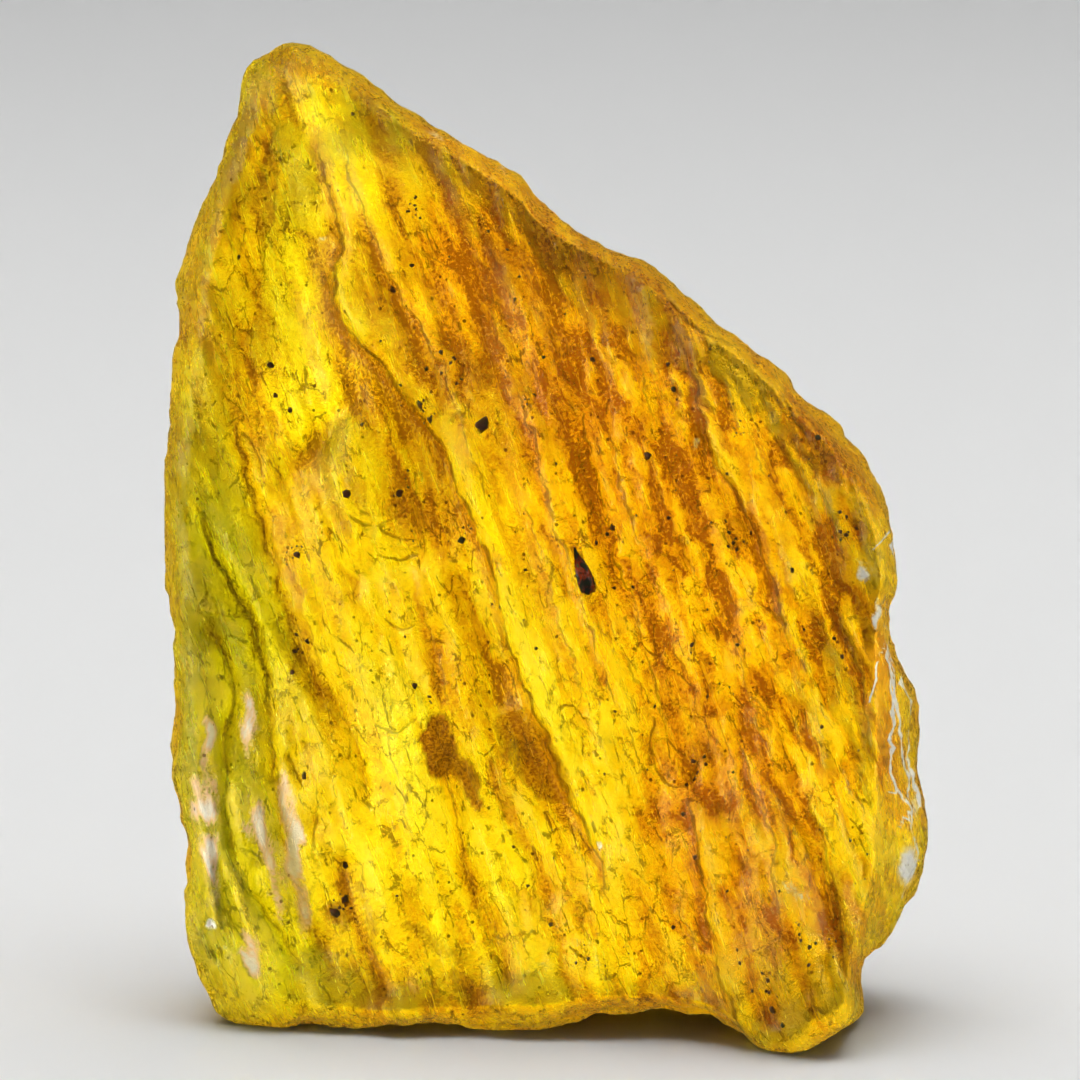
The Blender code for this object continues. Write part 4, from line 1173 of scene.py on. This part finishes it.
def crackle(n, streak, fleck, broken_up):
    """Hairline cracks: the edges of bent cells, broken up so that few of them close."""
    bend = n.add("CombineXYZ", {"X": streak, "Y": fleck, "Z": fleck}).outputs[0]
    bend = {0: bend, "Scale": CRACKLE_BEND}
    bend = n.add("VectorMath", bend, operation="SCALE").outputs[0]
    place = {0: bend, 1: n.scaled(CRACKLE_CELL, FLOW_TURN)}
    place = n.add("VectorMath", place, operation="ADD").outputs[0]
    edge = n.voronoi(place, feature="DISTANCE_TO_EDGE")["Distance"]
    return n.times(n.span(edge, 0.012, 0.055, 1.0, 0.0), n.span(broken_up, 0.36, 0.52))


def amber_material():
    n = Nodes("amber_stone")
    # The ground attribute holds the tone, the hue, the painted sheen and the crackle.
    tone, hue, sheen, broken_up = n.channels("ground")
    # The marks hold the painted glint spots, the lines the painted glint lines.
    crust, glint_spots, stain, frost = n.channels("marks")
    line_gap, line, glint_gap, glint_strength = n.channels("lines")
    flow = n.add("Attribute", attribute_name="flow").outputs["Fac"]

    streak = n.noise(n.scaled(STREAK_SIZE, FLOW_TURN), 2.0, 0.6)
    fleck = n.noise(n.scaled(FLECK_SIZE), 2.0, 0.75)
    seam = thin_line(n, line_gap, line, SEAM_WIDTH, fleck, SEAM_WANDER)
    # Painted glint lines along the right-hand edge.
    glint_line = thin_line(n, glint_gap, glint_strength, GLINT_WIDTH, fleck, GLINT_WANDER)
    crack = crackle(n, streak, fleck, broken_up)
    dark = n.most(n.times(crack, 0.80), n.times(seam, 0.9))

    # Dark specks, one to a cell and missing from most.
    cell = n.voronoi(n.scaled(SPECK_CELL))
    chosen = n.split(cell["Color"])
    dot = n.math("LESS_THAN", cell["Distance"], n.times(chosen[1], 0.24))
    speck = n.times(dot, n.math("LESS_THAN", chosen[0], 0.35))

    # Tone of the resin, with streaks along the folds and flecks all over.
    streaky = n.times(flow, STREAK_TONE)
    level = n.plus_times(tone, n.math("SUBTRACT", streak, 0.5), streaky)
    level = n.math("SUBTRACT", n.plus_times(level, fleck, FLECK_TONE), MIDDLE_TONE)
    colour = n.mix(n.span(hue, 0.5, 0.95), n.ramp(level, GOLDEN), n.ramp(level, GREENISH))
    colour = n.mix(n.span(hue, 0.5, 0.05), colour, WARMTH, "MULTIPLY")

    # What covers it: sugary crust, stains, cracks, painted pinkish sheen streaks, painted glints and
    # specks.
    crusty = n.times(crust, n.span(fleck, 0.34, 0.60, 0.2, 1.0))
    glassy = n.span(n.plus_times(fleck, chosen[2], 0.24), 0.48, 0.76)
    # Painted sheen streaks, pinkish highlights along the folds.
    sheen_share = n.span(n.plus_times(sheen, fleck, 0.6), 0.50, 0.90, 0.0, 0.95)
    # Painted glints: the glint spots and the glint lines together.
    glint_share = n.span(n.plus_times(n.most(glint_spots, glint_line), fleck, 0.5), 0.55, 0.9)
    colour = n.mix(crusty, colour, n.mix(glassy, *CRUST))
    colour = n.mix(stain, colour, n.mix(n.span(fleck, 0.35, 0.65), *STAIN))
    colour = n.mix(dark, colour, DARK_LINE)
    colour = n.mix(sheen_share, colour, n.mix(n.span(sheen, 0.5, 0.9), *SHEEN_COLOURS))
    # Lays the painted glints over it.
    colour = n.mix(glint_share, colour, GLINT_COLOUR)
    colour = n.mix(n.times(speck, 0.8), colour, SPECK)
    n.put(colour, n.shader.inputs["Base Color"])

    shares = ((crusty, 0.8), (glint_share, 0.9), (sheen_share, 0.72), (dark, 0.7), (speck, 0.8), (stain, 0.7))
    brown = n.span(level, -0.10, 0.18, 0.6, 0.0)
    cover = n.most(frost, brown, *[n.times(mark, share) for mark, share in shares])
    n.put(n.plus_times(CLEAR, cover, -CLEAR), n.shader.inputs["Transmission Weight"])
    rough = n.plus_times(n.span(streak, 0.35, 0.65, 0.16, 0.28), crusty, 0.25)
    n.put(rough, n.shader.inputs["Roughness"])
    n.put(1.54, n.shader.inputs["IOR"])
    n.put(GLOSS_TINT, n.shader.inputs["Specular Tint"])
    grains = n.times(n.times(crust, cell["Distance"]), -CRUST_HEIGHT * MM)
    n.raise_by(n.plus_times(grains, fleck, FLECK_HEIGHT * MM))

    inside = n.add("VolumeAbsorption", {"Color": ABSORBED_LAST, "Density": ABSORPTION})
    n.put(inside.outputs["Volume"], n.tree.nodes["Material Output"].inputs["Volume"])
    return n.material


def grain_material():
    n = Nodes("bark_grains")
    bark = [(0.3, (0.010, 0.005, 0.001)), (0.5, (0.070, 0.020, 0.002)), (0.68, (0.034, 0.036, 0.004))]
    colour = n.ramp(n.noise(n.scaled((0.8, 0.8, 0.8)), 1.0), bark)
    speckle = n.span(n.noise(n.scaled((0.08, 0.08, 0.08)), 2.0), 0.5, 0.7, 0.0, 0.5)
    n.put(n.mix(speckle, colour, (0.16, 0.050, 0.006, 1.0)), n.shader.inputs["Base Color"])
    n.put(0.5, n.shader.inputs["Roughness"])
    return n.material


def flake_material():
    n = Nodes("bark_flake")
    patch = n.noise(n.scaled((0.35, 0.35, 0.5)), 2.0, 0.6)
    bark = [
        (0.34, (0.010, 0.022, 0.006)),
        (0.48, (0.016, 0.012, 0.004)),
        (0.60, (0.26, 0.028, 0.004)),
        (0.72, (0.05, 0.07, 0.02)),
    ]
    n.put(n.ramp(patch, bark), n.shader.inputs["Base Color"])
    n.put(n.span(patch, 0.3, 0.7, 0.55, 0.22), n.shader.inputs["Roughness"])
    n.raise_by(n.times(n.noise(n.scaled((0.10, 0.10, 0.16)), 2.0), 0.03 * MM))
    return n.material


# ------------------------------------------------------------------------------- grains
def surface_at(tree, x, h):
    """The point of the face in front of a drawn (x, h), in metres, and its normal."""
    start = Vector(stood_up(np.array([(x, h, 30.0)]))[0] * MM)
    inward = Vector((0.0, math.cos(LEAN), -math.sin(LEAN)))
    point, normal, _, _ = tree.ray_cast(start, inward)
    return point, normal


def unit_ball():
    bm = bmesh.new()
    bmesh.ops.create_icosphere(bm, subdivisions=2, radius=1.0)
    points = np.array([v.co for v in bm.verts])
    faces = np.array([[v.index for v in f.verts] for f in bm.faces])
    bm.free()
    return points, faces


def lump(ball, centre, normal, radii, rng):
    """The points of one small rough lump that lies in the surface."""
    ball = ball * (1 + 0.55 * soft_noise(ball * 1.4 + rng.uniform(-50, 50, 3), 150)[:, None])
    spin = rng.uniform(0, math.pi)
    c, s = math.cos(spin), math.sin(spin)
    flat = ball * (*radii, 0.45 * min(radii)) @ np.array([[c, s, 0], [-s, c, 0], [0, 0, 1]])
    upright = np.array(normal.to_track_quat("Z", "Y").to_matrix())
    return flat @ upright.T * MM + np.array(centre)


def grain_places(rng):
    """Every grain's (x, h, radius): the drawn ones, the heaps and the single ones."""
    rows = list(GRAINS)
    for x, h, spread, count in CLUSTERS:
        for _ in range(count):
            off = rng.normal(0, CLUSTER_SPREAD * spread, 2)
            rows.append((x + off[0], h + off[1], rng.uniform(*CLUSTER_RADII) * spread))
    smallest, more = SCATTERED_RADII
    while len(rows) < len(GRAINS) + SCATTERED:
        x, h = rng.uniform(-18, 18), rng.uniform(2, 50)
        if outline_gap(np.array([(x, h)]))[0] > 1.0 and rng.uniform() < 0.45 + 0.03 * x:
            rows.append((x, h, smallest + more * rng.uniform() ** 2))
    return rows


def make_grains(tree):
    rng = np.random.default_rng(7)
    ball, shape = unit_ball()
    points, faces = [], []
    for x, h, radius in grain_places(rng):
        centre, normal = surface_at(tree, x, h)
        if centre is not None:
            radii = radius * rng.uniform(0.7, 1.4), radius
            faces.append(shape + len(ball) * len(points))
            points.append(lump(ball, centre, normal, radii, rng))
    mesh = mesh_of("bark_grains", np.vstack(points), np.vstack(faces).tolist())
    return placed(mesh, grain_material())


def make_flake(tree):
    """The bark crumb in the middle of the face: a small lens, pointed above and blunt below."""
    rows, around = 14, 20
    low, high = np.array(FLAKE_FOOT), np.array(FLAKE_TIP)
    down = (low - high) / np.linalg.norm(low - high)
    across = np.array((-down[1], down[0]))
    points = []
    for t in np.arange(rows + 1) / rows:
        half = FLAKE_HALF_WIDTH * math.sin(math.pi * min(t * 0.62 + 0.02, 1.0)) ** 1.2
        half *= 1 if t < FLAKE_BLUNT_FROM else 0.55
        for turn in 2 * math.pi * np.arange(around) / around:
            place = high + t * (low - high) + across * half * math.cos(turn)
            surface, normal = surface_at(tree, *place)
            lift = 0.55 * half * math.sin(turn) + 0.05
            points.append(np.array(surface) + np.array(normal) * lift * MM)
    points = np.array(points)
    points += shaken(points, 0.2 * MM, 0.03 * MM, 160)
    index = np.arange((rows + 1) * around).reshape(rows + 1, around)
    turned = np.roll(index, -1, axis=1)
    sides = np.stack([index[:-1], turned[:-1], turned[1:], index[1:]], axis=-1).reshape(-1, 4)
    ends = [index[0][::-1].tolist(), index[-1].tolist()]
    return placed(mesh_of("bark_flake", points, sides.tolist() + ends), flake_material())


# ------------------------------------------------------------------------- floor, lights
def make_floor():
    half = 4.0
    corners = np.array([(-half, -half, 0), (half, -half, 0), (half, half, 0), (-half, half, 0)])
    n = Nodes("floor")
    n.put((0.80, 0.80, 0.79, 1.0), n.shader.inputs["Base Color"])
    n.put(0.55, n.shader.inputs["Roughness"])
    floor = placed(mesh_of("floor", corners, [(0, 1, 2, 3)]), n.material)
    floor.visible_glossy = floor.visible_transmission = False
    return floor


def aimed(made, at, target):
    made.location = at
    made.rotation_mode = "QUATERNION"
    made.rotation_quaternion = (Vector(target) - Vector(at)).to_track_quat("-Z", "Y")


# The lights: name, place, size, power, colour and whether the gloss mirrors them.
SIDE_LIGHTS = [
    ("left_softbox", (-0.34, -0.10, 0.12), (0.12, 0.24), 0.9, (0.97, 0.98, 1.0), False),
    ("left_strip", (-0.30, -0.02, 0.12), (0.03, 0.24), 0.30, (0.98, 0.98, 1.0), True),
    ("right_strip", (0.26, 0.02, 0.10), (0.04, 0.22), 0.25, (0.95, 0.98, 1.0), True),
]
CEILING = ("ceiling", (0.0, 0.10, 1.5), (2.0, 2.0), 9.6, (0.97, 0.98, 1.0), True)
TOP_LIGHT = ("top_softbox", (0.0, 0.05, 0.55), (0.50, 0.50), 2.7, (1.0, 1.0, 1.0), False)
LIT_MIDDLE = (0.0, 0.0, 0.024)

# How bright the surroundings are: as they light the scene, mirrored in the gloss, and seen
# through the stone.
WORLD_LIGHT = 0.12
WORLD_IN_GLOSS = 0.05
WORLD_THROUGH = 2.3


def make_light(name, at, size, power, colour, mirrored):
    data = bpy.data.lights.new(name, "AREA")
    data.shape = "RECTANGLE"
    data.size, data.size_y = size
    data.energy = power
    data.color = colour
    light = bpy.data.objects.new(name, data)
    light.visible_glossy = mirrored
    aimed(light, at, LIT_MIDDLE)
    bpy.context.collection.objects.link(light)
    return light


def lit_by(lights, name, pieces):
    """Keeps the light of these lights to the given pieces."""
    lit = bpy.data.collections.new(name)
    for piece in pieces:
        lit.objects.link(piece)
    for light in lights:
        light.light_linking.receiver_collection = lit


def make_lights(pieces, floor):
    lit_by([make_light(*row) for row in SIDE_LIGHTS], "lit_from_the_sides", pieces)
    lit_by([make_light(*CEILING)], "lit_by_the_ceiling", [floor])
    make_light(*TOP_LIGHT)


def make_world():
    world = bpy.data.worlds.new("studio")
    world.use_nodes = True
    nodes, links = world.node_tree.nodes, world.node_tree.links
    background = nodes["Background"]
    background.inputs["Color"].default_value = (0.96, 0.97, 0.98, 1.0)
    path = nodes.new("ShaderNodeLightPath")
    strength = None
    for ray, level in (("Is Glossy Ray", WORLD_IN_GLOSS), ("Is Transmission Ray", WORLD_THROUGH)):
        step = nodes.new("ShaderNodeMapRange")
        links.new(path.outputs[ray], step.inputs["Value"])
        step.inputs["To Min"].default_value = WORLD_LIGHT
        if strength:
            links.new(strength, step.inputs["To Min"])
        step.inputs["To Max"].default_value = level
        strength = step.outputs["Result"]
    links.new(strength, background.inputs["Strength"])
    world.cycles.sampling_method = "NONE"
    bpy.context.scene.world = world


def set_light_paths():
    """Enough bounces for light to go in and out of the stone, and no caustics."""
    scene = bpy.context.scene
    scene.view_settings.view_transform = "Standard"
    scene.cycles.use_light_tree = False
    scene.cycles.max_bounces = 5
    scene.cycles.transmission_bounces = 4
    scene.cycles.diffuse_bounces = 2
    scene.cycles.glossy_bounces = 2
    scene.cycles.caustics_reflective = False
    scene.cycles.caustics_refractive = False
    scene.cycles.use_adaptive_sampling = True
    scene.cycles.adaptive_threshold = 0.15
    scene.cycles.adaptive_min_samples = 8


AIM = (-0.4, 25.8, 5.0)  # the drawn point that the camera looks at, straight on
CAMERA_AWAY = 0.5
SENSOR = 36.0
SEEN_WIDTH = 0.054  # of the picture, where the camera is aimed


def make_camera():
    aim = stood_up(np.array([AIM]))[0] * MM
    data = bpy.data.cameras.new("camera")
    data.sensor_width = SENSOR
    data.lens = SENSOR * CAMERA_AWAY / SEEN_WIDTH
    data.clip_start = 0.01
    camera = bpy.data.objects.new("camera", data)
    away = Vector((0.0, -math.cos(LEAN), math.sin(LEAN))) * CAMERA_AWAY
    aimed(camera, Vector(aim) + away, aim)
    bpy.context.collection.objects.link(camera)
    bpy.context.scene.camera = camera


stone = make_stone()
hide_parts("amber")
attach(stone, "root")

tree = BVHTree.FromObject(stone, bpy.context.evaluated_depsgraph_get())
crumbs = [make_grains(tree), make_flake(tree)]
for piece in crumbs:
    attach(piece, "root")

make_lights([stone, *crumbs], make_floor())
make_world()
set_light_paths()
make_camera()
